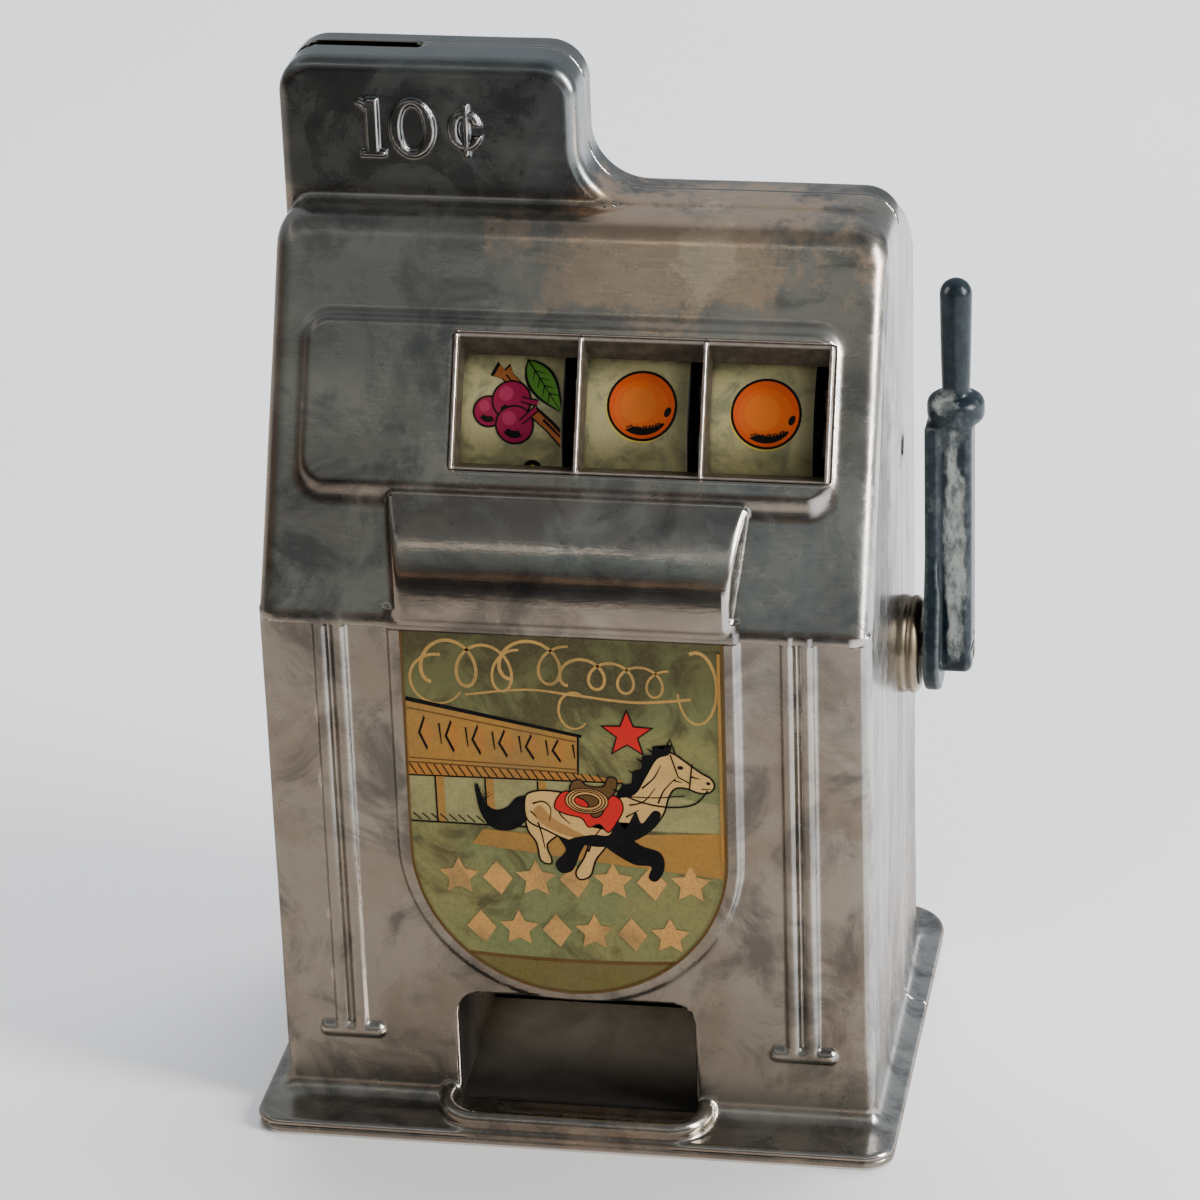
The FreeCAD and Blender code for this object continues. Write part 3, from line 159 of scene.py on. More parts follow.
def circle_through(a, b, c):
    """Centre and radius of the circle through three flat points."""
    rows = np.array([[b[0] - a[0], b[1] - a[1]], [c[0] - a[0], c[1] - a[1]]]) * 2
    sums = np.array([b[0] ** 2 + b[1] ** 2 - a[0] ** 2 - a[1] ** 2,
                     c[0] ** 2 + c[1] ** 2 - a[0] ** 2 - a[1] ** 2])
    centre = np.linalg.solve(rows, sums)
    return centre, math.hypot(centre[0] - a[0], centre[1] - a[1])


def ramp(value, low, high):
    """0 below low, 1 above high, smooth between."""
    share = np.clip((value - low) / (high - low), 0, 1)
    return share * share * (3 - 2 * share)


def slope_place(y, z):
    """Distance up the slope from its foot, and distance out of it."""
    dy, dz = y - (FRONT - LIP_REACH), z - SLOPE_FOOT
    return dy * SLOPE_SIN + dz * SLOPE_COS, -dy * SLOPE_COS + dz * SLOPE_SIN


def crest_outline(x, z):
    """The tower and shelf seen from the front."""
    tower = meet(meet(x - TOWER_SIDE, z - TOP, 6.5), -HALF - x, 6.5)
    shelf = meet(np.abs(x) - HALF, z - SHELF, 6.0)
    flared = meet(join(tower, z - SHELF, 9.5), x - HALF, 6.0)
    return np.where(x > -25, flared, either(tower, shelf))


def case_form(x, y, z):
    """The outside of the case above the flange, open downwards, before any embossing."""
    sides = np.abs(x) - HALF + 0.3 * ramp(y, SEAM, BACK)
    rise = np.clip(0.8 * (y - FRONT - 2), 0, 8)
    lower = both(meet(FRONT - y, sides, 1.8), z - SLOPE_FOOT - rise, y - SEAM - 4)
    out = slope_place(y, z)[1]
    corner = meet(sides, z - SHELF, 6.0)
    head = meet(meet(out, FRONT - LIP_REACH - y, 0.4), corner, 3.6)
    head = meet(head, z - SHELF, 1.4)
    head = both(head, LIP - z, y - CREST_BACK + 2)
    crest = meet(meet(crest_outline(x, z), TOWER_FACE - y, 2.2), y - CREST_BACK, 2.2)
    crest = both(crest, SHELF - 14 - z)
    cove = 1.9 * (1 - ramp(x, 2.0, 8.0)) * ramp(x, -HALF, -HALF + 4) + 0.02
    middle, radius = circle_through((CREST_BACK, 148.5), (25.4, 143.5), (BACK, 136.0))
    roof = np.hypot(y - middle[0], np.maximum(z - middle[1], 0)) - radius
    rear = meet(meet(roof, y - BACK, 3.0), sides, 4.0)
    return either(lower, both(rear, -y), join(head, crest, cove))


def hood_form(x, y, z):
    """The barrel-fronted hood above the shield, with an upright brow."""
    middle, radius = circle_through((FRONT + 6.43, 110.9), (FRONT + 0.61, 104.6), (FRONT - 1.65, 98.4))
    barrel = np.hypot(y - middle[0], z - middle[1]) - radius
    brow = FRONT - 1.75 - y
    front = meet(barrel, brow, 0.5)
    half = 27.2 + 0.25 * (y - FRONT + 1.75)
    ends = meet((np.abs(x - 0.2) - half) * 0.97, LIP + 1.3 - z, 1.6)
    hood = meet(front, ends, 1.2)
    return both(hood, y - FRONT - 12)


def shield_form(x, y, z):
    """The raised boss that carries the label."""
    flat = np.where(z > SHIELD_MIDDLE, np.abs(x), np.hypot(x, z - SHIELD_MIDDLE)) - SHIELD_HALF
    return both(meet(flat, FRONT - EMBOSS - y, 0.55), z - LIP - 3, y - FRONT - 3)


def flute_form(x, y, z):
    """The ribs and their feet, mirrored about the middle."""
    side = np.abs(x)
    depth = FRONT + 0.2
    inner, outer = (segment(side, y, z, (across, depth, RIB_FOOT), (across, depth, LIP + 1), RIB_RADIUS)
                    for across in RIBS)
    foot = segment(side, y, z, (38.2 - 4.2, depth + 0.1, 15.4), (38.2 + 4.2, depth + 0.1, 15.4), 1.45)
    return join(either(inner, outer), foot, 0.5)


def panel_form(x, y, z):
    """The raised panel round the windows, with sides that lean back to the slope."""
    up, out = slope_place(y, z)
    flat = rounded_box(x + 0.35, up - 34.3, 43.65, 14.7, 4.5)
    draft = 0.5 + 0.6 * ramp(-up, -26, -21)
    side = (flat + draft * np.maximum(out, 0)) / np.hypot(1, draft)
    return both(meet(side, out - 1.5, 0.8), -out - 4)


def figure_form(x, y, z):
    """Raised figures 1 and 0 and a cent sign on the tower face."""
    middle = 163.8
    stem = rounded_box(x + 34.4, z - middle, 0.95, 4.9, 0.2)
    foot = rounded_box(x + 34.4, z - middle + 4.4, 2.0, 0.5, 0.2)
    flag = rounded_box((x + 35.6) * 0.8 - (z - middle - 3.7) * 0.6, (x + 35.6) * 0.6 + (z - middle - 3.7) * 0.8,
                       1.3, 0.5, 0.2)
    one = either(stem, foot, flag)

    def oval(cx, cz, half_x, half_z):
        return (np.hypot((x - cx) / half_x, (z - cz) / half_z) - 1) * min(half_x, half_z)

    nought = both(oval(-27.8, middle, 3.7, 4.9), -oval(-27.8, middle, 2.0, 4.0))
    gap = rounded_box(x + 16.6, z - middle + 0.1, 1.9, 0.9, 0.3)
    cent = both(oval(-19.2, middle - 0.1, 2.8, 3.3), -oval(-19.0, middle - 0.1, 1.4, 2.4), -gap)
    bar = rounded_box(x + 19.0, z - middle + 0.1, 0.45, 4.5, 0.2)
    flat = either(one, nought, cent, bar)
    return both(meet(flat, TOWER_FACE - 0.75 - y, 0.35), y - TOWER_FACE - 0.6)


def cup_form(x, y, z):
    """The rolled rim round the front of the payout mouth."""
    roll_height, roll_radius, wall_half = 4.3, 1.55, 1.4
    inside = rounded_box(x, y - FRONT + 1.0, 21.7, 7.2, 5.4)
    roll = np.hypot(inside, z - roll_height) - roll_radius
    wall = both(np.abs(inside) - wall_half, z - roll_height)
    return both(either(roll, wall), y - FRONT - 1.0)


def flange_form(x, y, z):
    radius = np.where(y < 0, 5.0, 9.0)
    flat = rounded_box(x, y, FLANGE_HALF, FLANGE_DEPTH, radius)
    return meet(flat, z - FLANGE_TOP, 0.9)


def dents(x, y, z):
    """The slight unevenness of old pressed sheet."""
    wide = np.sin(x / 9.1 + z / 13.7 + 0.6) * np.sin(z / 10.3 - x / 15.9 + y / 8.0)
    small = np.sin(x / 3.9 - z / 5.3 + 1.1) * np.sin(z / 4.4 + x / 6.1 - y / 5.0)
    return 0.035 * wide + 0.008 * small


def side_nick(x, y, z):
    """A teardrop knock in the right wall, just behind the seam."""
    along = np.clip((y - SEAM) / 7.0, 0, 1)
    flat = np.hypot((y - SEAM - 2.6) / 1.8, (z - 107.2 + 1.2 * along) / (1.9 - 1.1 * along)) - 1
    return 0.7 * ramp(-flat, -0.15, 0.5) * ramp(x, 40, 48)


def coin_slot(x, y, z):
    """The slot through the top of the tower, across the seam between the halves."""
    flat = rounded_box(x - SLOT_X, y - SLOT_Y, SLOT_HALF_X, SLOT_HALF_Y, 0.3)
    return both(flat, SLOT_FLOOR - z)


def boss_hole(x, y, z):
    """The hole in the right wall behind the handle's boss."""
    return both(np.hypot(y - SHAFT_DEPTH, z - SHAFT_HEIGHT) - 4.2, 40 - x)


def corner_stock(x, z):
    """Extra thickness in the upper corners, where three round edges run into one another."""
    return 0.7 * ramp(np.abs(x), 41, 44) * ramp(z, 122, 126) * ramp(-z, -158, -154)


def shell(skin, inside, past_seam, x, y, z):
    """A hollow half of the case, with the coin slot, the handle's hole and a rounded edge at the seam."""
    skin = both(skin, -inside, -coin_slot(x, y, z), -boss_hole(x, y, z))
    return both(meet(skin, past_seam + SEAM_GAP, 0.3), FLANGE_FOOT - z)


def front_field(x, y, z):
    """The front shell: one thick sheet with its embossing, mouth, windows and flange."""
    case = case_form(x, y, z)
    pressed = join(case, panel_form(x, y, z), 1.2)
    pressed = join(pressed, shield_form(x, y, z), 1.0)
    pressed = join(pressed, hood_form(x, y, z), 0.6)
    pressed = join(pressed, flute_form(x, y, z), 0.4)
    inside = pressed + SHEET + corner_stock(x, z)
    pressed = join(pressed, figure_form(x, y, z), 0.35)
    skin = join(pressed - dents(x, y, z), flange_form(x, y, z), 3.0)
    skin = join(skin, cup_form(x, y, z), 0.9)
    mouth = rounded_box(x, z - (MOUTH_TOP - MOUTH_HALF), MOUTH_HALF, MOUTH_HALF, MOUTH_CORNER)
    skin = carve(skin, both(mouth, FLANGE_TOP - z, np.abs(y - FRONT) - 2.5), 0.5)
    up, out = slope_place(y, z)
    window = rounded_box(x - WINDOW_X, up - WINDOW_UP, WINDOW_HALF_X, WINDOW_HALF_UP, 0.8)
    skin = carve(skin, both(window, -out - 6), 0.35)
    return shell(skin, inside, y - SEAM, x, y, z)


def rear_field(x, y, z):
    """The rear shell: lower roof, crest and flange, behind the seam."""
    case = case_form(x, y, z)
    inside = case + SHEET + corner_stock(x, z)
    skin = join(case - dents(x, y, z + 40) + side_nick(x, y, z), flange_form(x, y, z), 3.0)
    return shell(skin, inside, SEAM - y, x, y, z)


def grille_field(x, y, z):
    """The lining of the window opening, and the upright bars."""
    up, out = slope_place(y, z)
    up = up - WINDOW_UP
    half_x, half_up = WINDOW_HALF_X - 0.05, WINDOW_HALF_UP - 0.05
    depth = np.clip(1.2 - out, 0, 4)
    outside = rounded_box(x - WINDOW_X, up, half_x, half_up, 0.7)
    hole = rounded_box(x - WINDOW_X, up + 0.27 * depth, half_x - 0.55 - 0.1 * depth, half_up - 0.45 - 0.5 * depth, 0.5)
    lining = both(outside, -hole, out - 1.25, -2.5 - out)
    pitch = (half_x * 2 - 1.0) / 3
    half = 0.33 + 0.1 * np.clip(1.6 - out, 0, 4)
    places = [WINDOW_LEFT + 0.55 + pitch * index for index in range(4)]
    bars = either(*(meet(np.abs(x - place) - half, out - 2.0, 0.3) for place in places))
    return either(lining, both(bars, np.abs(up) - half_up + 0.1, -2.5 - out))


def lever_field(x, y, z):
    """The handle casting."""
    depth = y - SHAFT_DEPTH
    low = z - SHAFT_HEIGHT
    inner_x, outer_x, grip_x = LEVER_LOW[0], 62.0, 59.1
    taper = np.clip((low - 2) / 16, 0, 1)
    width = 7.6 * (1 - taper) + 3.7 * taper
    flat = np.where(low < 0, np.hypot(depth, low) - 7.6, np.abs(depth) - width)
    plate = meet(both(flat, low - 41), np.abs(x - (inner_x + 1.35)) - 1.35, 0.7)
    arm_x = (inner_x + 2.0 + outer_x) / 2
    arm = meet(rounded_box(x - arm_x, depth, (outer_x - inner_x - 2.0) / 2, 3.5, 1.2), -low - 3.7, 1.5)
    arm = both(arm, low - 41.5)
    collar = meet(np.hypot(x - grip_x, depth) - 4.75, np.abs(z - 115.0) - 2.4, 1.7)
    share = np.clip((z - 117) / 18, 0, 1)
    swell = 2.15 + 0.5 * np.sqrt(share)
    grip = np.hypot(np.hypot(x - grip_x, depth), np.maximum(z - LEVER_HIGH[2] + 2.6, 0)) - swell
    grip = both(grip, 113 - z)
    casting = join(join(plate, arm, 0.4), collar, 0.8)
    groove_x, groove_y = inner_x + 2.95, SHAFT_DEPTH - 4.0
    groove = segment(x, y, z, (groove_x, groove_y, 70.5), (groove_x, groove_y, 111.0), 0.75)
    casting = join(carve(casting, groove, 0.3), grip, 1.0)
    seat = np.hypot(depth, low) - (SCREW_HIGH[2] - SCREW_LOW[2]) / 2 - 0.05
    return both(casting, -both(seat, SCREW_HIGH[0] - 1.35 - x))


def boss_field(x, y, z):
    """A barrel with a rounded rim and a shallow ring worn round its waist."""
    rho = np.hypot(y - SHAFT_DEPTH, z - SHAFT_HEIGHT)
    waist = 0.3 * np.exp(-((x - BOSS_HIGH[0] + 2.1) / 0.45) ** 2)
    disc = meet(rho - 8.3 + waist, x - BOSS_HIGH[0], 1.6)
    return both(disc, 48 - x, 2.1 - rho)


# ---------------------------------------------------------------- surfaces from distance fields

def lines(*stretches):
    """Grid lines with a spacing of its own for each stretch: (end, spacing) after a first start."""
    start = stretches[0]
    marks = [np.array([start], float)]
    for end, spacing in stretches[1:]:
        count = max(1, round((end - start) / spacing))
        marks.append(np.linspace(start, end, count + 1)[1:])
        start = end
    return np.concatenate(marks)


def surface(distance, xs, ys, zs):
    """Points and quads where the distance field is zero, one point in each grid cell it crosses."""
    field = np.empty((len(xs), len(ys), len(zs)), np.float32)
    slab = 16
    for low in range(0, len(zs), slab):
        x, y, z = np.meshgrid(xs, ys, zs[low:low + slab], indexing="ij")
        field[:, :, low:low + slab] = distance(x, y, z)
    grid = (xs, ys, zs)
    cells = tuple(count - 1 for count in field.shape)
    total = np.zeros((4, cells[0] * cells[1] * cells[2]))
    quads = []
    for axis in range(3):
        near = field[tuple(slice(0, -1) if a == axis else slice(None) for a in range(3))]
        far = field[tuple(slice(1, None) if a == axis else slice(None) for a in range(3))]
        index = np.argwhere((near < 0) != (far < 0))
        b, c = [a for a in range(3) if a != axis]
        inner = (index[:, b] > 0) & (index[:, c] > 0) & (index[:, b] < cells[b]) & (index[:, c] < cells[c])
        index = index[inner]
        low, high = near[tuple(index.T)], far[tuple(index.T)]
        share = low / (low - high)
        point = np.stack([grid[a][index[:, a]] for a in range(3)])
        point[axis] += share * (grid[axis][index[:, axis] + 1] - grid[axis][index[:, axis]])
        ring = []
        for step_b, step_c in ((-1, -1), (0, -1), (0, 0), (-1, 0)):
            cell = index.copy()
            cell[:, b] += step_b
            cell[:, c] += step_c
            flat = np.ravel_multi_index(tuple(cell.T), cells)
            ring.append(flat)
            for row in range(3):
                total[row] += np.bincount(flat, point[row], total.shape[1])
            total[3] += np.bincount(flat, minlength=total.shape[1])
        ring = np.stack(ring, 1)
        turned = (low < 0) == (axis == 1)
        ring[turned] = ring[turned][:, ::-1]
        quads.append(ring)
    quads = np.concatenate(quads)
    used, quads = np.unique(quads, return_inverse=True)
    points = (total[:3, used] / total[3, used]).T
    return points, quads.reshape(-1, 4)


def growth(distance, points, step):
    """How much the field grows along each axis over twice the step."""
    x, y, z = points
    return np.stack([
        distance(x + step, y, z) - distance(x - step, y, z),
        distance(x, y + step, z) - distance(x, y - step, z),
        distance(x, y, z + step) - distance(x, y, z - step),
    ], 1)


def settle(distance, points, reach=0.25, step=0.02, least=0.3):
    """Move each point onto the surface, by no more than the reach."""
    slope = growth(distance, points.T, step) / (2 * step)
    size = np.maximum((slope ** 2).sum(1), least)
    move = -(distance(*points.T) / size)[:, None] * slope
    length = np.linalg.norm(move, axis=1)
    move *= np.minimum(1, reach / np.maximum(length, 1e-9))[:, None]
    return points + move


def put(name, data):
    """A new object in the scene."""
    item = bpy.data.objects.new(name, data)
    bpy.context.scene.collection.objects.link(item)
    return item


def new_object(name, points, faces, material):
    """A smooth mesh object from points in millimetres and equal-sided faces."""
    mesh = bpy.data.meshes.new(name)
    sides = faces.shape[1]
    mesh.vertices.add(len(points))
    mesh.vertices.foreach_set("co", (points * MM).astype(np.float32).ravel())
    mesh.loops.add(faces.size)
    mesh.loops.foreach_set("vertex_index", faces.astype(np.int32).ravel())
    mesh.polygons.add(len(faces))
    mesh.polygons.foreach_set("loop_start", np.arange(0, faces.size, sides, dtype=np.int32))
    mesh.polygons.foreach_set("use_smooth", np.full(len(faces), True))
    mesh.update(calc_edges=True)
    mesh.validate()
    mesh.materials.append(material)
    return put(name, mesh)


def simplify_inside(item, hidden):
    """Merge the flat faces of a shell's unseen inner side, where hidden(points in mm) is true."""
    work = bmesh.new()
    work.from_mesh(item.data)
    work.verts.ensure_lookup_table()
    points = np.array([vertex.co for vertex in work.verts]) / MM
    flags = hidden(*points.T)
    inner = [vertex for vertex, flag in zip(work.verts, flags) if flag]
    chosen = set(inner)
    edges = [edge for edge in work.edges if edge.verts[0] in chosen and edge.verts[1] in chosen]
    bmesh.ops.dissolve_limit(work, angle_limit=math.radians(2.5), verts=inner, edges=edges)
    work.to_mesh(item.data)
    work.free()


def shade_by_field(item, distance, step=0.11):
    """Give each vertex the direction in which the distance field grows."""
    points = np.empty(len(item.data.vertices) * 3, np.float32)
    item.data.vertices.foreach_get("co", points)
    slope = growth(distance, (points.reshape(-1, 3) / MM).T.astype(float), step)
    slope /= np.maximum(np.linalg.norm(slope, axis=1), 1e-9)[:, None]
    item.data.normals_split_custom_set_from_vertices(slope.tolist())


def field_object(name, distance, grid, material, hidden=None):
    """A mesh of the surface where a field is zero, simplified where it is hidden."""
    points, quads = surface(distance, *grid)
    for _ in range(3):
        points = settle(distance, points)
    item = new_object(name, points, quads, material)
    if hidden is not None:
        simplify_inside(item, hidden)
    shade_by_field(item, distance)
    return item


# ---------------------------------------------------------------- materials

class Nodes:
    """A small wrapper that adds and links the shader nodes of one material or world."""

    def __init__(self, name, kind="materials"):
        self.owner = getattr(bpy.data, kind).new(name)
        self.owner.use_nodes = True
        self.tree = self.owner.node_tree
        self.shader = self.tree.nodes.get("Principled BSDF")
        self.coordinates = self.add("TexCoord").outputs
        self.place = self.coordinates["Object"]

    def feed(self, node, inputs):
        """Set each input to a number or a colour, or link it to another node's output."""
        for key, value in inputs.items():
            socket = node.inputs[key]
            if isinstance(value, bpy.types.NodeSocket):
                self.tree.links.new(value, socket)
            else:
                socket.default_value = (*value, 1) if socket.type == "RGBA" else value
        return node

    def add(self, kind, inputs=None, **values):
        node = self.tree.nodes.new("ShaderNode" + kind)
        for key, value in values.items():
            setattr(node, key, value)
        return self.feed(node, inputs or {})

    def noise(self, scale, detail=4.0, rough=0.55, stretch=(1, 1, 1), distort=0.0, offset=0.0):
        place = self.place
        if stretch != (1, 1, 1) or offset:
            place = self.add("Mapping", {"Scale": stretch, "Location": (offset,) * 3, "Vector": place}).outputs[0]
        return self.add("TexNoise", {"Scale": scale, "Detail": detail, "Roughness": rough, "Distortion": distort,
                                     "Vector": place}).outputs["Fac"]

    def remap(self, value, low, high, out_low=0.0, out_high=1.0):
        ends = {"From Min": low, "From Max": high, "To Min": out_low, "To Max": out_high}
        return self.add("MapRange", {"Value": value, **ends}, interpolation_type="SMOOTHSTEP").outputs["Result"]

    def math(self, operation, a, b):
        return self.add("Math", {0: a, 1: b}, operation=operation).outputs[0]

    def times(self, a, b):
        return self.math("MULTIPLY", a, b)

    def plus(self, a, b):
        return self.math("ADD", a, b)

    def most(self, a, b):
        return self.math("MAXIMUM", a, b)

    def split(self, axis):
        """One coordinate of the object's own space, in metres."""
        return self.add("SeparateXYZ", {0: self.place}).outputs[axis]

    def worn_edges(self, ragged, low, high):
        """1 on sharp outer edges, broken up by a noise, and 0 elsewhere."""
        return self.remap(self.plus(self.add("NewGeometry").outputs["Pointiness"], ragged), low, high)

    def patch(self, centre, size, ragged, blur=0.5):
        """A stain with a ragged rim: 1 inside, 0 outside an oval at a place on the object."""
        rim, raggedness = 2.4, 3.0
        scaled = self.add("Mapping", {"Scale": tuple(1 / value for value in size), "Vector": self.place,
                                      "Location": tuple(-a / b for a, b in zip(centre, size))})
        length = self.add("VectorMath", {0: scaled.outputs[0]}, operation="LENGTH").outputs["Value"]
        return self.remap(self.plus(length, self.times(ragged, raggedness)), rim + blur / 2, rim - blur / 2)

    def mix(self, share, a, b):
        return self.add("Mix", {0: share, 6: a, 7: b}, data_type="RGBA").outputs[2]

    def cover(self, colour, mask, amount, over):
        """A colour with another laid over it where the mask is."""
        return self.mix(self.times(mask, amount), colour, over)

    def bump(self, height, strength, distance):
        node = self.add("Bump", {"Strength": strength, "Distance": distance, "Height": height})
        self.feed(self.shader, {"Normal": node.outputs["Normal"]})

    def set(self, **values):
        names = {key: key.replace("_", " ").title().replace("Ior", "IOR") for key in values}
        self.feed(self.shader, {names[key]: value for key, value in values.items()})
        return self.owner


def darker(colour, share):
    return tuple(value * share for value in colour)


def nickel(name, clean, tarnish, gloss, dull, stain_amount):
    """Old nickel plate: clean and tarnished areas, cloudy roughness, rubbed streaks and fine pits."""
    n = Nodes(name)
    clouds = n.remap(n.noise(38, 6, 0.62, distort=0.6), 0.5 - stain_amount, 0.72)
    blots = n.remap(n.noise(150, 5, 0.6, offset=3.1), 0.56, 0.74)
    streaks = n.noise(90, 4, 0.6, stretch=(5.0, 5.0, 0.5))
    stain = n.most(clouds, n.times(blots, 0.7))
    colour = n.cover(clean, stain, 0.75, tarnish)
    specks = n.remap(n.noise(900, 3, 0.7), 0.66, 0.76)
    colour = n.cover(colour, specks, 0.45, darker(tarnish, 0.25))
    rough = n.plus(n.remap(stain, 0, 1, gloss, dull), n.remap(streaks, 0.35, 0.75, -0.05, 0.09))
    n.bump(n.plus(n.noise(420, 4, 0.6), n.times(n.noise(2600, 2, 0.5), 0.35)), 0.1, 0.0003)
    return n.set(base_color=colour, metallic=1.0, roughness=rough)


def case_nickel():
    """The case's plate, with its larger stains, its rubbed hood and its streaky side walls, and with painted light: a
    dim blue-grey reflection on the tower, a warm reflection high on the slope and painted shade in the knock in the
    right wall.
    """
    n = Nodes("nickel_case")
    clouds = n.remap(n.noise(42, 8, 0.66, distort=0.9), 0.42, 0.60)
    blots = n.remap(n.noise(110, 6, 0.64, offset=3.1, distort=0.5), 0.50, 0.72)
    dull = n.math("MINIMUM", n.plus(n.times(clouds, 0.8), n.times(blots, 0.5)), 1.0)
    stain = n.remap(n.noise(24, 6, 0.66, offset=9.4, distort=0.6), 0.5, 0.68)
    rub = n.worn_edges(n.times(n.noise(150, 3, 0.5), 0.010), 0.520, 0.572)
    colour = n.cover((0.372, 0.333, 0.292), stain, 0.6, (0.228, 0.206, 0.186))
    colour = n.cover(colour, dull, 0.75, (0.50, 0.485, 0.44))
    soot = n.remap(n.noise(65, 7, 0.66, offset=12.3, distort=0.8), 0.46, 0.66)
    colour = n.cover(colour, soot, 0.78, (0.15, 0.150, 0.150))
    # Painted reflection: above the shelf the plate is tinted the dim blue-grey of the room that the tower reflects.
    high = n.remap(n.split("Z"), 0.1525, 0.1545)
    colour = n.cover(colour, high, 0.72, (0.175, 0.205, 0.22))
    # A warm patch high on the slope is a painted reflection of something warm in the room; the faint noise tint, kept
    # off the tower, is the plate's own tone.
    warm_reflection_and_tint = n.times(n.patch((0.017, -0.012, 0.147), (0.027, 0.03, 0.010), n.noise(95, 6, 0.7)), 0.85)
    tint = n.times(n.remap(n.noise(24, 5, 0.6, offset=7.7), 0.6, 0.7), 0.3)
    warm_reflection_and_tint = n.most(warm_reflection_and_tint, n.times(tint, n.math("SUBTRACT", 1.0, high)))
    colour = n.mix(warm_reflection_and_tint, colour, (0.78, 0.56, 0.40))
    cleaner = n.patch((0.034, -0.040, 0.103), (0.022, 0.03, 0.017), n.noise(50, 5, 0.6), 1.6)
    colour = n.cover(colour, cleaner, 0.6, (0.62, 0.61, 0.58))
    corner = n.patch((-0.034, -0.016, 0.142), (0.026, 0.03, 0.014), n.noise(50, 5, 0.6, offset=2.0), 1.6)
    colour = n.cover(colour, corner, 0.55, (0.20, 0.205, 0.20))
    pale = n.patch((0.021, -0.014, 0.146), (0.005, 0.03, 0.006), n.noise(230, 6, 0.7))
    colour = n.cover(colour, pale, 0.7, (0.95, 0.74, 0.53))
    specks = n.remap(n.noise(800, 3, 0.7), 0.64, 0.74)
    colour = n.cover(colour, specks, 0.3, (0.08, 0.07, 0.06))
    wall = n.remap(n.split("X"), 0.0490, 0.0497)
    runs = n.remap(n.noise(95, 7, 0.72, stretch=(1.0, 1.6, 0.3)), 0.42, 0.68)
    colour = n.cover(colour, wall, 0.85, n.mix(runs, (0.60, 0.59, 0.575), (0.16, 0.16, 0.165)))
    colour = n.cover(colour, rub, 0.7, (0.66, 0.61, 0.57))
    # The knock in the right wall is painted nearly black: painted shade in the dent.
    knock_painted_shade = n.patch((0.050, 0.0105, 0.1068), (0.0021, 0.0042, 0.0034), n.noise(300, 3, 0.5))
    colour = n.mix(knock_painted_shade, colour, (0.03, 0.03, 0.03))
    smears = n.noise(55, 5, 0.6, offset=5.3)
    rough = n.plus(n.remap(dull, 0, 1, 0.23, 0.34), n.remap(smears, 0.35, 0.7, -0.03, 0.04))
    hood = n.patch((0.0, -0.0345, 0.1015), (0.03, 0.012, 0.0095), n.noise(60, 3, 0.5))
    shine = n.times(n.most(rub, hood), n.math("SUBTRACT", rough, 0.15))
    scratches = n.noise(1300, 2, 0.6, stretch=(0.16, 1.0, 1.0), distort=0.3)
    height = n.plus(n.noise(420, 4, 0.6), n.times(scratches, 0.45))
    n.bump(n.plus(height, n.times(wall, n.times(n.noise(130, 4, 0.6), 2.0))), 0.12, 0.0003)
    return n.set(base_color=colour, metallic=1.0, roughness=n.math("SUBTRACT", rough, shine))


def grille_nickel():
    """Bright on the bars' outer edges, brown and dull down in the reveals, where the dark brown is painted shade."""
    n = Nodes("bright_trim")
    foot = -SLOPE_COS * (FRONT - LIP_REACH) * MM + SLOPE_SIN * SLOPE_FOOT * MM
    out = n.plus(n.times(n.split("Y"), -SLOPE_COS), n.times(n.split("Z"), SLOPE_SIN))
    outer = n.remap(n.math("SUBTRACT", out, foot), 0.0009, 0.0017)
    rub = n.noise(500, 4, 0.6)
    # The near-black brown down in the reveals is painted shade, not the metal's own colour.
    reveal_painted_shade = n.mix(n.remap(rub, 0.35, 0.7), (0.04, 0.033, 0.022), (0.085, 0.066, 0.043))
    bright = n.mix(n.remap(rub, 0.4, 0.7), (0.90, 0.80, 0.73), (0.62, 0.52, 0.45))
    n.bump(rub, 0.15, 0.0002)
    return n.set(base_color=n.mix(outer, reveal_painted_shade, bright), metallic=n.remap(outer, 0, 1, 0.35, 1.0),
                 roughness=n.remap(outer, 0, 1, 0.5, 0.17))


def plain_metal(name, colour, roughness):
    """Dull unplated or zinc-plated steel of the inner pieces."""
    n = Nodes(name)
    cloud = n.noise(120, 5, 0.6)
    shade = n.mix(n.remap(cloud, 0.3, 0.75), colour, darker(colour, 0.55))
    n.bump(n.noise(1400, 2, 0.6, stretch=(0.2, 1, 1)), 0.15, 0.0002)
    rough = n.remap(cloud, 0.3, 0.8, roughness - 0.08, roughness + 0.12)
    return n.set(base_color=shade, metallic=1.0, roughness=rough)


def tray_metal():
    """Unplated sheet gone brown, and nearly black towards the front of the tunnel, near the mouth."""
    n = Nodes("dark_tray")
    cloud = n.noise(90, 6, 0.62, distort=0.4)
    shade = n.mix(n.remap(cloud, 0.35, 0.7), (0.66, 0.59, 0.48), (0.42, 0.37, 0.30))
    near = n.remap(n.plus(n.split("Y"), n.times(cloud, 0.008)), -0.006, -0.026)
    shade = n.cover(shade, near, 0.97, (0.012, 0.012, 0.012))
    n.bump(n.noise(500, 4, 0.6), 0.15, 0.0002)
    return n.set(base_color=shade, metallic=0.3, roughness=n.remap(cloud, 0.3, 0.75, 0.42, 0.6),
                 specular_ior_level=0.3)


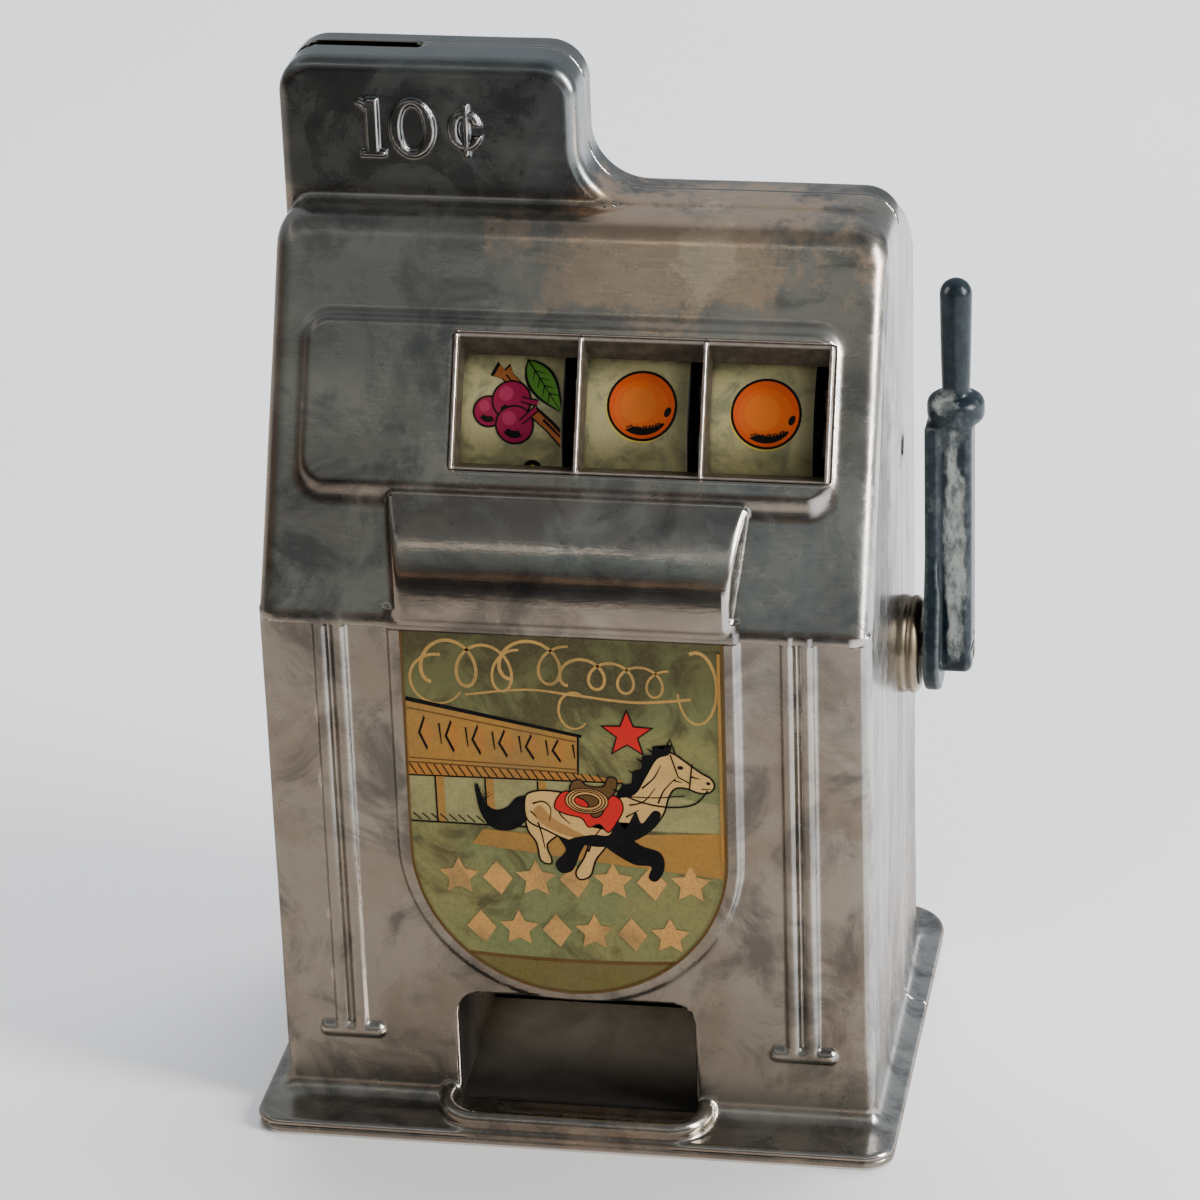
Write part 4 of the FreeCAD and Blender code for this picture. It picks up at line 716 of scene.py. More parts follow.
def painted_zinc():
    """Dark blue-grey paint, rubbed to grey metal on edges and in patches."""
    n = Nodes("painted_zinc")
    patches = n.remap(n.noise(170, 6, 0.7, stretch=(1, 1, 0.55)), 0.54, 0.66)
    edge = n.worn_edges(n.times(n.noise(600, 3, 0.6), 0.05), 0.535, 0.57)
    worn = n.most(n.times(patches, 0.55), n.times(edge, 0.8))
    colour = n.mix(n.remap(n.noise(500, 4, 0.6), 0.35, 0.7), (0.004, 0.010, 0.016), (0.014, 0.025, 0.033))
    worn = n.times(worn, n.remap(n.split("Z"), 0.121, 0.117, 0.35, 1.0))
    chalk = n.patch((0.0590, 0.0049, 0.0915), (0.0019, 0.002, 0.0195), n.noise(240, 6, 0.7, stretch=(1, 1, 0.4)))
    cap = n.patch((0.0572, 0.004, 0.1172), (0.0026, 0.004, 0.0016), n.noise(300, 5, 0.7))
    colour = n.cover(colour, worn, 0.75, (0.13, 0.15, 0.145))
    flakes = n.remap(n.noise(420, 6, 0.72, stretch=(1, 1, 0.5), offset=2.2), 0.38, 0.58, 0.25, 0.85)
    colour = n.cover(colour, n.most(chalk, cap), flakes, (0.34, 0.37, 0.34))
    n.bump(n.noise(900, 4, 0.6), 0.25, 0.0003)
    return n.set(base_color=colour, metallic=0.1, roughness=n.remap(worn, 0, 1, 0.3, 0.5), specular_ior_level=0.35)


def reel_paper():
    """Cream paper gone olive and grey in soft blotches, with painted shade darkening each strip towards its edges."""
    n = Nodes("reel_paper")
    blotch = n.remap(n.noise(170, 6, 0.62, distort=0.9, offset=1.7), 0.44, 0.64)
    shade = n.cover((0.43, 0.38, 0.185), blotch, 0.75, (0.16, 0.17, 0.10))
    shade = n.cover(shade, n.remap(n.noise(130, 4, 0.6, offset=6.1), 0.5, 0.66), 0.5, (0.50, 0.42, 0.17))
    shade = n.cover(shade, n.remap(n.noise(1500, 3, 0.6), 0.4, 0.75), 0.25, (0.20, 0.19, 0.10))
    across = n.math("DIVIDE", n.math("SUBTRACT", n.split("X"), STRIP_LOW[0] * MM), REEL_PITCH * MM)
    across = n.math("FRACT", across, 0)
    # Painted shade: each strip is darkened towards its edges, most on its right side, where the window's reveal shades
    # it.
    edge_painted_shade = n.plus(n.remap(across, 0.62, 0.85), n.remap(across, 0.07, 0.0))
    shade = n.cover(shade, edge_painted_shade, 0.75, (0.05, 0.045, 0.025))
    n.bump(n.noise(2200, 2, 0.6), 0.08, 0.0001)
    return n.set(base_color=shade, roughness=0.6, specular_ior_level=0.3)


def ink(name, colour, fade):
    """Old print: its colour broken by paper grain and brown age."""
    n = Nodes(name)
    age = n.remap(n.noise(95, 6, 0.65, distort=0.4), 0.42, 0.75)
    grain = n.remap(n.noise(1900, 2, 0.6), 0.35, 0.7)
    shade = n.cover(n.cover(colour, grain, fade * 0.5, darker(colour, 0.45)), age, fade, (0.13, 0.10, 0.05))
    return n.set(base_color=shade, roughness=0.7, specular_ior_level=0.12)


def label_paper():
    """Green paper gone yellow, with brown and nearly black stains, most of them near the top and the rim."""
    n = Nodes("label_paper")
    tone = n.remap(n.noise(60, 5, 0.6, distort=0.5), 0.35, 0.65)
    shade = n.mix(tone, (0.150, 0.165, 0.062), (0.205, 0.180, 0.062))
    shade = n.mix(n.remap(n.split("Z"), 0.070, 0.086, 0.0, 0.72), shade, (0.058, 0.060, 0.021))
    ragged = n.noise(75, 6, 0.65, distort=0.7, offset=4.4)
    stain = n.remap(n.plus(ragged, n.times(n.remap(n.split("Z"), 0.066, 0.088), 0.13)), 0.50, 0.66)
    shade = n.cover(shade, stain, 0.85, (0.045, 0.036, 0.014))
    shade = n.cover(shade, n.remap(n.noise(1700, 3, 0.6), 0.38, 0.72), 0.4, (0.10, 0.085, 0.035))
    n.bump(n.noise(900, 4, 0.6), 0.15, 0.0002)
    return n.set(base_color=shade, roughness=0.6, specular_ior_level=0.2)


# ---------------------------------------------------------------- printed art

class Print:
    """Flat coloured shapes, in millimetres, that are then laid on paper."""

    def __init__(self, inks):
        self.inks = inks
        self.names = list(inks)
        self.work = bmesh.new()
        self.begin(0.0, 0.0)

    def begin(self, x, y):
        """Start a picture: from here on shapes are placed round (x, y), from the lowest layer up."""
        self.origin, self.layer = (x, y), 0

    def corner(self, x, y):
        return self.work.verts.new((self.origin[0] + x, self.origin[1] + y, self.layer))

    def fill(self, ink_name, corners):
        face = self.work.faces.new(corners)
        face.material_index = self.names.index(ink_name)
        return face

    def shape(self, ink_name, outline):
        """A filled outline on a layer of its own, facing up whichever way round it is drawn."""
        self.layer += 1
        face = self.fill(ink_name, [self.corner(x, y) for x, y in outline])
        if polygon_area(outline) < 0:
            face.normal_flip()

    def disc(self, ink_name, x, y, half_x, half_y=None, turn=0.0, corners=40):
        half_y = half_x if half_y is None else half_y
        points = []
        for step in range(corners):
            angle = math.tau * step / corners
            points.append(turned(x, y, half_x * math.cos(angle), half_y * math.sin(angle), turn))
        self.shape(ink_name, points)

    def stroke(self, ink_name, points, width, end_width=None):
        """A pen line with a width at each end."""
        end_width = width if end_width is None else end_width
        points = [Vector(point) for point in points]
        last = len(points) - 1
        self.layer += 1
        rows = []
        for index, point in enumerate(points):
            along = (points[min(index + 1, last)] - points[max(index - 1, 0)]).normalized()
            share = index / last
            half = (width * (1 - share) + end_width * share) / 2
            side = Vector((-along.y, along.x)) * half
            rows.append((self.corner(*(point + side)), self.corner(*(point - side))))
        for first, second in zip(rows, rows[1:]):
            self.fill(ink_name, (first[1], second[1], second[0], first[0]))

    def pen(self, points, width, end_width=None):
        self.stroke("black", points, width, end_width)

    def star(self, ink_name, x, y, radius, inner=0.42):
        outline = []
        for step in range(10):
            reach = radius if step % 2 == 0 else radius * inner
            outline.append(turned(x, y, reach, 0, 90 + 36 * step))
        self.shape(ink_name, outline)

    def finish(self, name, lay, slices=0.0):
        """Make the object, with lay(x, y, layer) giving each point's place in millimetres."""
        work = self.work
        bmesh.ops.triangulate(work, faces=[face for face in work.faces if len(face.verts) > 4])
        if slices:
            heights = [vertex.co.y for vertex in work.verts]
            for cut in np.arange(min(heights), max(heights), slices)[1:]:
                bmesh.ops.bisect_plane(work, geom=work.verts[:] + work.edges[:] + work.faces[:],
                                       plane_co=(0, cut, 0), plane_no=(0, 1, 0))
        for vertex in work.verts:
            vertex.co = Vector(lay(*vertex.co)) * MM
        mesh = bpy.data.meshes.new(name)
        work.to_mesh(mesh)
        work.free()
        for material in self.inks.values():
            mesh.materials.append(material)
        return put(name, mesh)


def turned(x, y, along, across, turn):
    """A point seen from (x, y), with its axes turned by an angle in degrees."""
    cos, sin = math.cos(math.radians(turn)), math.sin(math.radians(turn))
    return x + along * cos - across * sin, y + along * sin + across * cos


def polygon_area(outline):
    return sum(a[0] * b[1] - b[0] * a[1] for a, b in zip(outline, outline[1:] + outline[:1])) / 2


def arc(x, y, radius, start, end, count=14, squash=1.0):
    """Points along a round stretch, by angle in degrees."""
    angles = [math.radians(start + (end - start) * step / count) for step in range(count + 1)]
    return [(x + radius * math.cos(angle), y + squash * radius * math.sin(angle)) for angle in angles]


# reel pictures, each drawn round its own middle

def draw_orange(art):
    art.disc("lemon", -0.18, -0.28, 5.72)
    art.disc("black", 0, 0, 5.75)
    art.disc("orange", 0, 0, 5.32)
    art.disc("orange_mid", -0.1, -0.3, 4.4)
    art.disc("orange_light", -0.6, 0.1, 2.9)
    art.disc("black", 4.2, -0.9, 0.5, 0.85, turn=-25)
    art.shape("black", arc(0, 0, 4.75, 236, 322) + arc(0.5, 1.3, 4.9, 308, 250, 10))
    for step in range(26):
        reach = 3.95 - 0.5 * ((step * 7) % 5) / 4 + 0.5 * abs(step - 13) / 13
        art.disc("black", *turned(0.2, 0.2, reach, 0, 236 + 3.2 * step), 0.17, corners=8)


def draw_berry(art, x, y, radius):
    art.disc("black", x, y, radius + 0.22)
    art.disc("plum", x, y, radius - 0.1)
    art.disc("plum_light", x - radius * 0.3, y + radius * 0.35, radius * 0.38)
    art.shape("black", arc(x, y, radius * 0.72, 215, 305) + arc(x, y + radius * 0.3, radius * 0.62, 290, 235, 8))


def draw_leaf(art, x, y, length, turn):
    def outline(width, reach=length, start=(x, y)):
        side = [(reach * step / 10, width * math.sin(math.pi * (step / 10) ** 0.8)) for step in range(11)]
        return [turned(*start, along, across, turn)
                for along, across in side + [(u, -v) for u, v in side[-2:0:-1]]]

    art.shape("black", outline(length * 0.225))
    art.shape("leaf", outline(length * 0.19 * 0.94, length * 0.94, turned(x, y, 0.3, 0, turn)))
    art.pen([(x, y), turned(x, y, length * 0.93, 0, turn)], 0.28, 0.12)
    for share in (0.22, 0.36, 0.5, 0.64):
        start = turned(x, y, length * share, 0, turn)
        for side in (-42, 42):
            art.pen([start, turned(*start, 0.16 * length, 0, turn + side)], 0.2, 0.1)


def draw_plums(art):
    twig = [(-3.9, 4.9), (-3.0, 6.9), (-2.1, 5.8), (-1.3, 6.7), (-0.8, 5.3), (0.9, 3.8), (-0.8, 2.8), (-2.3, 4.5)]
    art.shape("black", [(-0.9 + (x + 0.9) * 1.2, 4.6 + (y - 4.6) * 1.2) for x, y in twig][::-1])
    art.shape("stem", twig[::-1])
    art.pen([(-1.9, 5.2), (-0.4, 3.6)], 0.3, 0.2)
    art.pen([(2.8, -0.6), (5.6, -2.9), (8.6, -6.0)], 2.0, 2.1)
    art.stroke("stem", [(2.9, -0.8), (5.6, -3.1), (8.5, -6.1)], 1.3, 1.2)
    art.pen([(4.6, -1.9), (7.9, -5.0)], 0.5, 0.3)
    draw_berry(art, -4.4, -0.9, 2.4)
    draw_berry(art, -0.7, 1.0, 3.1)
    draw_berry(art, -0.1, -2.9, 3.0)
    for ends in ([(0.9, 1.2), (3.6, 0.7)], [(0.9, -2.5), (3.4, -0.2)]):
        art.pen(ends, 1.0, 1.2)
        art.stroke("plum", ends, 0.5, 0.7)
    draw_leaf(art, 1.4, 7.9, 10.7, -54)


def draw_lemon(art):
    art.disc("black", 0, 0, 6.2, 4.5, turn=20)
    art.disc("lemon", 0, 0, 5.8, 4.1, turn=20)
    art.disc("black", 5.9, 2.1, 1.0)
    art.disc("lemon", 5.7, 2.0, 0.7)
    art.shape("black", arc(0, 0, 4.2, 225, 305, squash=0.8) + arc(0, 0.7, 3.6, 300, 235, 8, squash=0.8))


def draw_bell(art):
    def outline(grow):
        side = 5.0 + grow
        dome = arc(0, 1.4, 3.4 + grow, 0, 180, squash=1.15)
        return [(-side, -3.8 - grow), (side, -3.8 - grow), (3.7 + grow, -1.6)] + dome + [(-3.7 - grow, -1.6)]

    art.disc("black", 0, -4.6, 1.5)
    art.shape("black", outline(0.4))
    art.shape("lemon", outline(0.0))
    art.pen([(-4.6, -2.6), (4.6, -2.6)], 0.35)


def draw_round_bell(art):
    """A bell set high and to the right, so that the ring on its crown shows below the picture above."""
    x, y = art.origin
    art.begin(x + 2.8, y + 1.4)
    draw_bell(art)
    art.disc("black", 0, 5.8, 1.5)
    art.disc("lemon", 0, 5.7, 0.7)


def draw_star(art):
    art.star("black", 0, 0, 6.6)
    art.star("red", 0, 0, 5.7)


REEL_ORDERS = {
    1: (draw_plums, draw_round_bell, draw_orange, draw_lemon, draw_star, draw_orange, draw_plums, draw_lemon),
    2: (draw_orange, draw_star, draw_plums, draw_bell, draw_orange, draw_lemon, draw_plums, draw_bell),
    3: (draw_orange, draw_lemon, draw_bell, draw_plums, draw_orange, draw_star, draw_lemon, draw_plums),
}
REEL_NUDGE = {1: (1.2, -0.3), 2: (1.35, 0.65), 3: (1.05, 0.1)}


# each ink's colour, and how far it has faded
REEL_INKS = {
    "black": ((0.006, 0.006, 0.007), 0.05),
    "orange": ((0.66, 0.085, 0.012), 0.15),
    "orange_mid": ((0.68, 0.115, 0.013), 0.18),
    "orange_light": ((0.70, 0.15, 0.016), 0.22),
    "plum": ((0.27, 0.010, 0.05), 0.12),
    "plum_light": ((0.38, 0.03, 0.085), 0.15),
    "leaf": ((0.075, 0.20, 0.025), 0.2),
    "stem": ((0.30, 0.095, 0.025), 0.2),
    "lemon": ((0.68, 0.52, 0.08), 0.2),
    "red": ((0.5, 0.03, 0.025), 0.15),
}
LABEL_INKS = {
    "black": ((0.004, 0.004, 0.005), 0.05),
    "peach": ((0.52, 0.27, 0.08), 0.75),
    "ochre": ((0.32, 0.16, 0.035), 0.55),
    "line": ((0.42, 0.24, 0.065), 0.7),
    "pale": ((0.27, 0.24, 0.10), 0.6),
    "ochre_dark": ((0.36, 0.15, 0.03), 0.5),
    "brown": ((0.10, 0.05, 0.015), 0.3),
    "tan": ((0.56, 0.34, 0.115), 0.35),
    "tan_dark": ((0.34, 0.17, 0.05), 0.35),
    "red": ((0.50, 0.014, 0.012), 0.15),
    "olive": ((0.135, 0.105, 0.03), 0.7),
}


def make_inks(prefix, table):
    return {name: ink(f"{prefix}_{name}", colour, fade) for name, (colour, fade) in table.items()}


def trim_sides(item, low, high):
    """Cut away what lies left of low or right of high, in millimetres."""
    work = bmesh.new()
    work.from_mesh(item.data)
    for place, side in ((low, -1), (high, 1)):
        bmesh.ops.bisect_plane(work, geom=work.verts[:] + work.edges[:] + work.faces[:], dist=1e-7,
                               plane_co=(place * MM, 0, 0), plane_no=(side, 0, 0), clear_outer=True)
    work.to_mesh(item.data)
    work.free()


def reel_print(reel, inks):
    """The pictures round one reel."""
    low, high = millimetres(f"reel_strip_{reel}")
    middle = (low[0] + high[0]) / 2
    pitch = math.tau * REEL_RADIUS / PICTURES
    nudge_x, nudge_y = REEL_NUDGE[reel]
    art = Print(inks)
    for index, draw in enumerate(REEL_ORDERS[reel]):
        art.begin(nudge_x, nudge_y - pitch * index)
        draw(art)
    facing = math.atan2(SLOPE_SIN, -SLOPE_COS)

    def lay(x, y, layer):
        angle = facing - y / REEL_RADIUS
        radius = REEL_RADIUS + REEL_PRINT_LIFT + REEL_LAYER * layer
        return (middle + x, REEL_DEPTH + radius * math.cos(angle), REEL_HEIGHT + radius * math.sin(angle))

    item = art.finish(f"reel_print_{reel}", lay, slices=0.55)
    trim_sides(item, low[0] + PAPER_EDGE, high[0] - PAPER_EDGE)
    declare(item, f"reel_{reel}")


# label picture, in the front view's own x and z

def draw_town(art):
    """A plain plank building front with a porch, on the left."""
    art.shape("pale", [(-26.2, 64.6), (6.0, 64.8), (26.2, 61.5), (26.2, 56.5), (-26.2, 56.0)])
    art.shape("ochre", [(-25.9, 78.0), (2.3, 72.9), (2.0, 66.3), (-26.2, 66.9)])
    art.shape("ochre_dark", [(-26.2, 66.9), (2.0, 66.3), (9.5, 65.3), (9.5, 64.8), (-26.2, 64.5)])
    art.pen([(-25.9, 78.4), (2.9, 73.0)], 0.8, 0.6)
    art.pen([(2.3, 73.0), (2.1, 66.0)], 0.35)
    art.stroke("brown", [(-26.2, 66.9), (2.2, 66.3)], 0.3)
    art.pen([(-26.2, 64.5), (9.5, 64.9)], 0.3)
    for step in range(6):
        x = -23.2 + step * 4.4
        size = 3.3 - 0.22 * step
        middle = 72.4 - 0.42 * step
        lozenge = [(x + 0.9, middle - size), (x + 1.7, middle), (x + 0.6, middle + size), (x - 0.5, middle)]
        art.shape("black", [(u - 0.45, v - 0.1) for u, v in lozenge])
        art.shape("ochre_dark", lozenge)
        art.pen([(x + 2.6, middle + 0.55 * size), (x + 2.9, middle - 0.6 * size)], 0.35, 0.2)
    art.stroke("brown", [(-25.8, 76.8), (2.0, 72.0)], 0.22)
    art.stroke("brown", [(-25.8, 67.7), (2.0, 67.0)], 0.22)
    for step in range(24):
        x = -25.8 + step * 1.35
        art.pen([(x, 66.7 - step * 0.02), (x + 1.1, 64.8)], 0.22)
    for x in (-20.9, -12.6, -3.9):
        art.stroke("ochre", [(x, 64.5), (x + 0.1, 56.2)], 1.3)
        art.pen([(x - 0.75, 64.5), (x - 0.65, 56.2)], 0.3)
    for step in range(10):
        x = -25.6 + step * 1.5
        art.pen([(x, 57.6), (x + 1.3, 56.4)], 0.22)
    art.pen([(-26.2, 56.1), (-5.0, 56.0)], 0.3)
    art.shape("ochre", [(-14.0, 55.2), (-3.0, 54.6), (26.1, 56.6), (26.3, 48.2), (4.0, 50.2), (-16.0, 52.4)])


def curved(points, closed=True, steps=5):
    """A smooth line through a few points."""
    around = points[-1:] + points + points[:2] if closed else points[:1] + points + points[-1:]
    result = []
    for a, b, c, d in zip(around, around[1:], around[2:], around[3:]):
        for step in range(steps):
            t = step / steps
            result.append(tuple(0.5 * (2 * q + (r - p) * t + (2 * p - 5 * q + 4 * r - s) * t * t
                                       + (3 * q - p - 3 * r + s) * t ** 3) for p, q, r, s in zip(a, b, c, d)))
    return result if closed else result + [points[-1]]


def inked(art, fill, points, width=0.32):
    """A filled smooth shape with a pen line round it."""
    outline = curved(points)
    art.shape(fill, outline)
    art.pen(outline + outline[:1], width)


def draw_horse(art):
    """A plain galloping pony with a saddle, a red blanket and a coiled rope, and no rider."""
    inked(art, "black", [(-6.4, 61.6), (-8.2, 61.2), (-9.8, 59.4), (-12.0, 58.8), (-13.8, 60.4), (-14.8, 63.6),
                         (-14.6, 60.0), (-13.8, 57.4), (-12.2, 55.6), (-9.4, 55.4), (-7.0, 57.2), (-6.0, 60.2)])
    for step in range(7):
        hair = [(-13.2 + 0.3 * step, 58.0), (-14.6 + 0.15 * step, 60.2), (-15.2 + 0.5 * step, 63.6 - 0.3 * step)]
        art.pen(curved(hair, closed=False), 0.34, 0.08)
    for leg in ([(-1.6, 55.4), (-0.2, 52.2), (-2.0, 49.6), (-1.2, 48.0), (0.6, 48.6), (1.8, 51.6), (3.0, 55.0)],
                [(8.6, 56.0), (12.0, 53.6), (15.2, 52.4), (15.8, 49.8), (14.6, 47.4), (13.4, 47.8), (13.8, 50.0),
                 (10.6, 50.4), (6.0, 53.8)]):
        inked(art, "black", leg)
    for leg in ([(-6.4, 58.6), (-6.6, 55.6), (-5.2, 53.2), (-4.6, 50.0), (-3.0, 49.4), (-2.8, 50.4), (-3.4, 53.0),
                 (-1.0, 55.6), (-1.6, 58.6)],
                [(5.0, 57.4), (3.6, 53.6), (2.6, 50.8), (1.2, 48.2), (1.8, 46.8), (3.6, 47.6), (4.6, 50.6),
                 (6.4, 53.2), (8.4, 57.0)]):
        inked(art, "tan", leg)
    inked(art, "tan", [(-6.8, 61.4), (-5.4, 62.6), (-2.6, 62.9), (2.4, 62.3), (6.8, 61.6), (9.6, 62.8), (12.0, 65.8),
                       (14.0, 69.0), (15.8, 70.8), (17.6, 70.9), (19.6, 69.6), (22.2, 67.6), (23.9, 66.6), (24.5, 65.2),
                       (23.6, 64.0), (21.8, 63.9), (19.8, 64.6), (18.0, 64.4), (16.9, 62.6), (16.0, 59.6), (13.6, 56.4),
                       (10.0, 54.2), (5.0, 53.4), (0.4, 53.9), (-3.4, 55.6), (-6.6, 57.4)])
    art.shape("tan_dark", curved([(-5.6, 58.4), (-3.0, 56.0), (0.6, 54.6), (4.6, 54.0), (1.0, 56.0), (-2.4, 58.0),
                                  (-4.4, 60.2)]))
    art.shape("black", curved([(0.2, 54.0), (4.0, 55.2), (7.0, 55.4), (8.2, 58.4), (9.6, 56.6), (11.4, 59.8),
                               (12.4, 57.8), (14.4, 60.2), (15.6, 59.4), (13.4, 56.2), (9.8, 54.0), (5.0, 53.0)]))
    art.shape("black", curved([(8.4, 62.4), (9.4, 64.6), (10.8, 65.0), (11.2, 67.2), (12.6, 67.8), (12.8, 70.0),
                               (14.4, 70.4), (14.6, 72.0), (16.4, 71.4), (17.6, 72.4), (17.2, 70.6), (15.2, 69.6),
                               (13.4, 66.4), (11.4, 63.0)]))
    for x, y in ((10.2, 64.2), (11.6, 66.6), (13.0, 68.8), (14.8, 70.6)):
        art.pen([(x, y), (x - 1.3, y + 0.9)], 0.5, 0.06)
    for line in ([(-5.6, 60.4), (-3.8, 60.9), (-2.6, 59.6), (-2.9, 57.4)], [(10.4, 61.0), (12.8, 61.8), (14.8, 64.4)],
                 [(-4.8, 57.0), (-4.2, 54.6), (-3.8, 52.2)], [(3.4, 52.0), (4.6, 55.0), (6.4, 57.4)],
                 [(12.6, 64.2), (14.6, 66.2), (15.8, 68.6)], [(15.2, 61.6), (16.2, 64.0), (18.2, 66.4)],
                 [(-6.0, 59.0), (-5.0, 58.0)], [(17.8, 66.0), (19.2, 65.6)], [(20.6, 66.8), (22.2, 66.4)],
                 [(-1.6, 60.6), (-1.0, 58.6), (0.6, 57.0)], [(9.8, 58.8), (12.0, 60.2)]):
        art.pen(curved(line, closed=False), 0.34, 0.14)
    inked(art, "red", [(-0.8, 62.6), (1.6, 63.0), (8.0, 62.6), (9.4, 60.4), (8.2, 57.6), (6.8, 55.8), (5.4, 57.2),
                       (3.6, 56.6), (2.4, 58.2), (-0.2, 58.8), (-2.0, 60.0)], 0.24)
    inked(art, "brown", [(0.8, 62.6), (1.0, 64.6), (2.4, 65.2), (3.6, 64.2), (6.2, 64.2), (7.0, 65.8), (8.4, 65.6),
                         (8.2, 63.4), (6.8, 61.6), (5.8, 59.0), (4.2, 58.6), (3.4, 61.2)], 0.24)
    for grow in (0.0, 0.5, 1.0):
        art.pen(arc(3.4, 61.4, 3.3 - grow, 0, 360, 28, squash=0.62), 0.75)
        art.stroke("peach", arc(3.4, 61.4, 3.3 - grow, 0, 360, 28, squash=0.62), 0.32)
    art.pen(curved([(7.8, 63.8), (12.0, 61.8), (17.0, 61.0), (21.2, 61.8), (23.4, 64.4)], closed=False), 0.3)
    art.pen(curved([(9.6, 62.6), (14.6, 62.6), (19.6, 63.2)], closed=False), 0.2)
    art.pen([(16.4, 71.0), (17.4, 73.4), (18.2, 70.8)], 0.55, 0.3)
    art.pen([(20.9, 69.0), (20.4, 64.4)], 0.28)
    art.pen([(17.4, 70.6), (18.6, 66.6), (20.4, 65.6)], 0.24)
    art.disc("black", 19.0, 68.3, 0.5, 0.34)
    art.disc("black", 23.5, 65.7, 0.36, 0.28)
    art.pen([(22.4, 64.6), (24.0, 64.7)], 0.24, 0.12)


def draw_scrolls(art):
    """Loose pen flourishes across the top of the label, in place of any wording."""
    for start, count, height, lift, reach, width in (
            (-21.5, 2.5, 85.6, 3.9, 3.1, 0.62), (-8.4, 1.5, 86.4, 3.6, 3.4, 0.62), (1.0, 3.5, 84.6, 2.5, 2.5, 0.55)):
        points = []
        for step in range(int(count * 40) + 1):
            turn = math.tau * step / 40
            points.append((start + reach * (0.3 * turn - 0.95 * math.sin(turn)),
                           height - lift * math.cos(turn) - 0.03 * reach * turn))
        art.stroke("line", points, width, width * 0.7)
    art.stroke("line", arc(22.0, 82.6, 3.2, 110, -170, 40, squash=2.0), 0.62, 0.35)
    art.stroke("line", arc(-20.6, 82.2, 4.4, 80, 330, 40, squash=1.0), 0.55, 0.3)
    art.stroke("line", arc(1.8, 77.6, 2.5, 60, 320, 30, squash=1.3), 0.5, 0.3)
    art.stroke("line", curved([(-16.0, 79.6), (-6.0, 81.0), (2.0, 80.4), (12.0, 79.6), (21.0, 80.6)], closed=False),
               0.35, 0.5)


def draw_ornaments(art):
    """Two rows of stars and lozenges in the lower half."""
    rows = ((46.2, 0.8, -18.4, 20.2, 7, 3.5), (37.0, 0.0, -15.0, 16.6, 6, 3.4))
    for row, (height, rise, left, right, count, size) in enumerate(rows):
        for step in range(count):
            x = left + (right - left) * step / (count - 1)
            y = height + rise * step / count
            if (step + row) % 2 == 0:
                art.star("peach", x, y, size, inner=0.5)
            else:
                art.shape("peach", [(x + 0.5, y - size * 0.9), (x + size * 0.72, y), (x - 0.1, y + size * 0.9),
                                    (x - size * 0.72, y)])


def draw_foot(art):
    """The darker strip along the bottom of the label."""
    chord = [(x, 31.3 + 0.0022 * x * x) for x in np.linspace(17.2, -17.2, 12)]
    radius = LABEL_HIGH[0] - 0.1
    start = math.degrees(math.asin((chord[-1][1] - SHIELD_MIDDLE) / radius))
    bowl = arc(0, SHIELD_MIDDLE, radius, 180 - start, 360 + start, 30)
    art.shape("olive", bowl + chord[1:-1])
    art.stroke("brown", chord, 0.7)


def draw_border(art):
    """The browned edge of the paper."""
    edge = LABEL_HIGH[0] - 0.2
    outline = [(edge, LIP - 0.4)] + [(edge, SHIELD_MIDDLE)]
    outline += arc(0, SHIELD_MIDDLE, edge, 0, -180, 48)[1:]
    outline += [(-edge, LIP - 0.4)]
    art.stroke("brown", outline, 0.45)
    art.stroke("ochre", [(edge - 0.6, LIP - 2), (edge - 0.6, SHIELD_MIDDLE)], 0.5)


def label_print():
    art = Print(make_inks("label", LABEL_INKS))
    draw_foot(art)
    draw_scrolls(art)
    draw_town(art)
    draw_ornaments(art)
    art.star("black", 10.4, 73.8, 4.7)
    art.star("red", 10.4, 73.8, 4.0)
    draw_horse(art)
    draw_border(art)

    def lay(x, z, layer):
        return (x, LABEL_LOW[1] - LABEL_PRINT_LIFT - LABEL_LAYER * layer, z)

    item = art.finish("label_print", lay)
    item.data.flip_normals()
    declare(item, "housing")


# ---------------------------------------------------------------- pieces

def declare(item, body, stands_for=None):
    """Say what a piece rides on, and hide the CAD node that it stands for."""
    if stands_for:
        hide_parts(stands_for)
    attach(item, body)


def even_grid(low, high, spacing):
    """Grid lines of one spacing between two corners."""
    return [np.arange(start, end, spacing) for start, end in zip(low, high)]


def case_pieces(metal):
    def inner(x, y, z):
        return case_form(x, y, z) < -0.7

    grid = (
        lines(-55.4, (-47, 0.5), (-34, 0.42), (-15, 0.5), (-6, 0.8), (4, 0.5), (26, 0.9), (34, 0.5), (45.5, 0.4),
              (55.4, 0.5)),
        lines(-45.2, (-35.8, 0.7), (-32, 0.4), (-6, 0.52), (9.6, 0.6)),
        lines(0.7, (7, 0.5), (13, 0.9), (24.5, 0.5), (52, 0.7), (88, 1.3), (113, 0.48), (132, 0.6), (140, 0.48),
              (149, 0.8), (176.6, 0.5)))
    front = field_object("front_skin", front_field, grid, metal, lambda x, y, z: inner(x, y, z) & (y > FRONT + 0.5))
    grid = (
        lines(-55.4, (-47, 0.5), (-9, 1.2), (4, 0.45), (12, 0.6), (46, 1.2), (55.4, 0.5)),
        lines(7.4, (18, 0.5), (31, 0.9), (45.2, 0.5)),
        lines(0.7, (7, 0.5), (125, 1.6), (176.6, 0.55)))
    rear = field_object("rear_skin", rear_field, grid, metal, lambda x, y, z: inner(x, y, z) & (z > FLANGE_CLEAR))
    declare(front, "housing", "front_shell")
    declare(rear, "housing", "rear_shell")


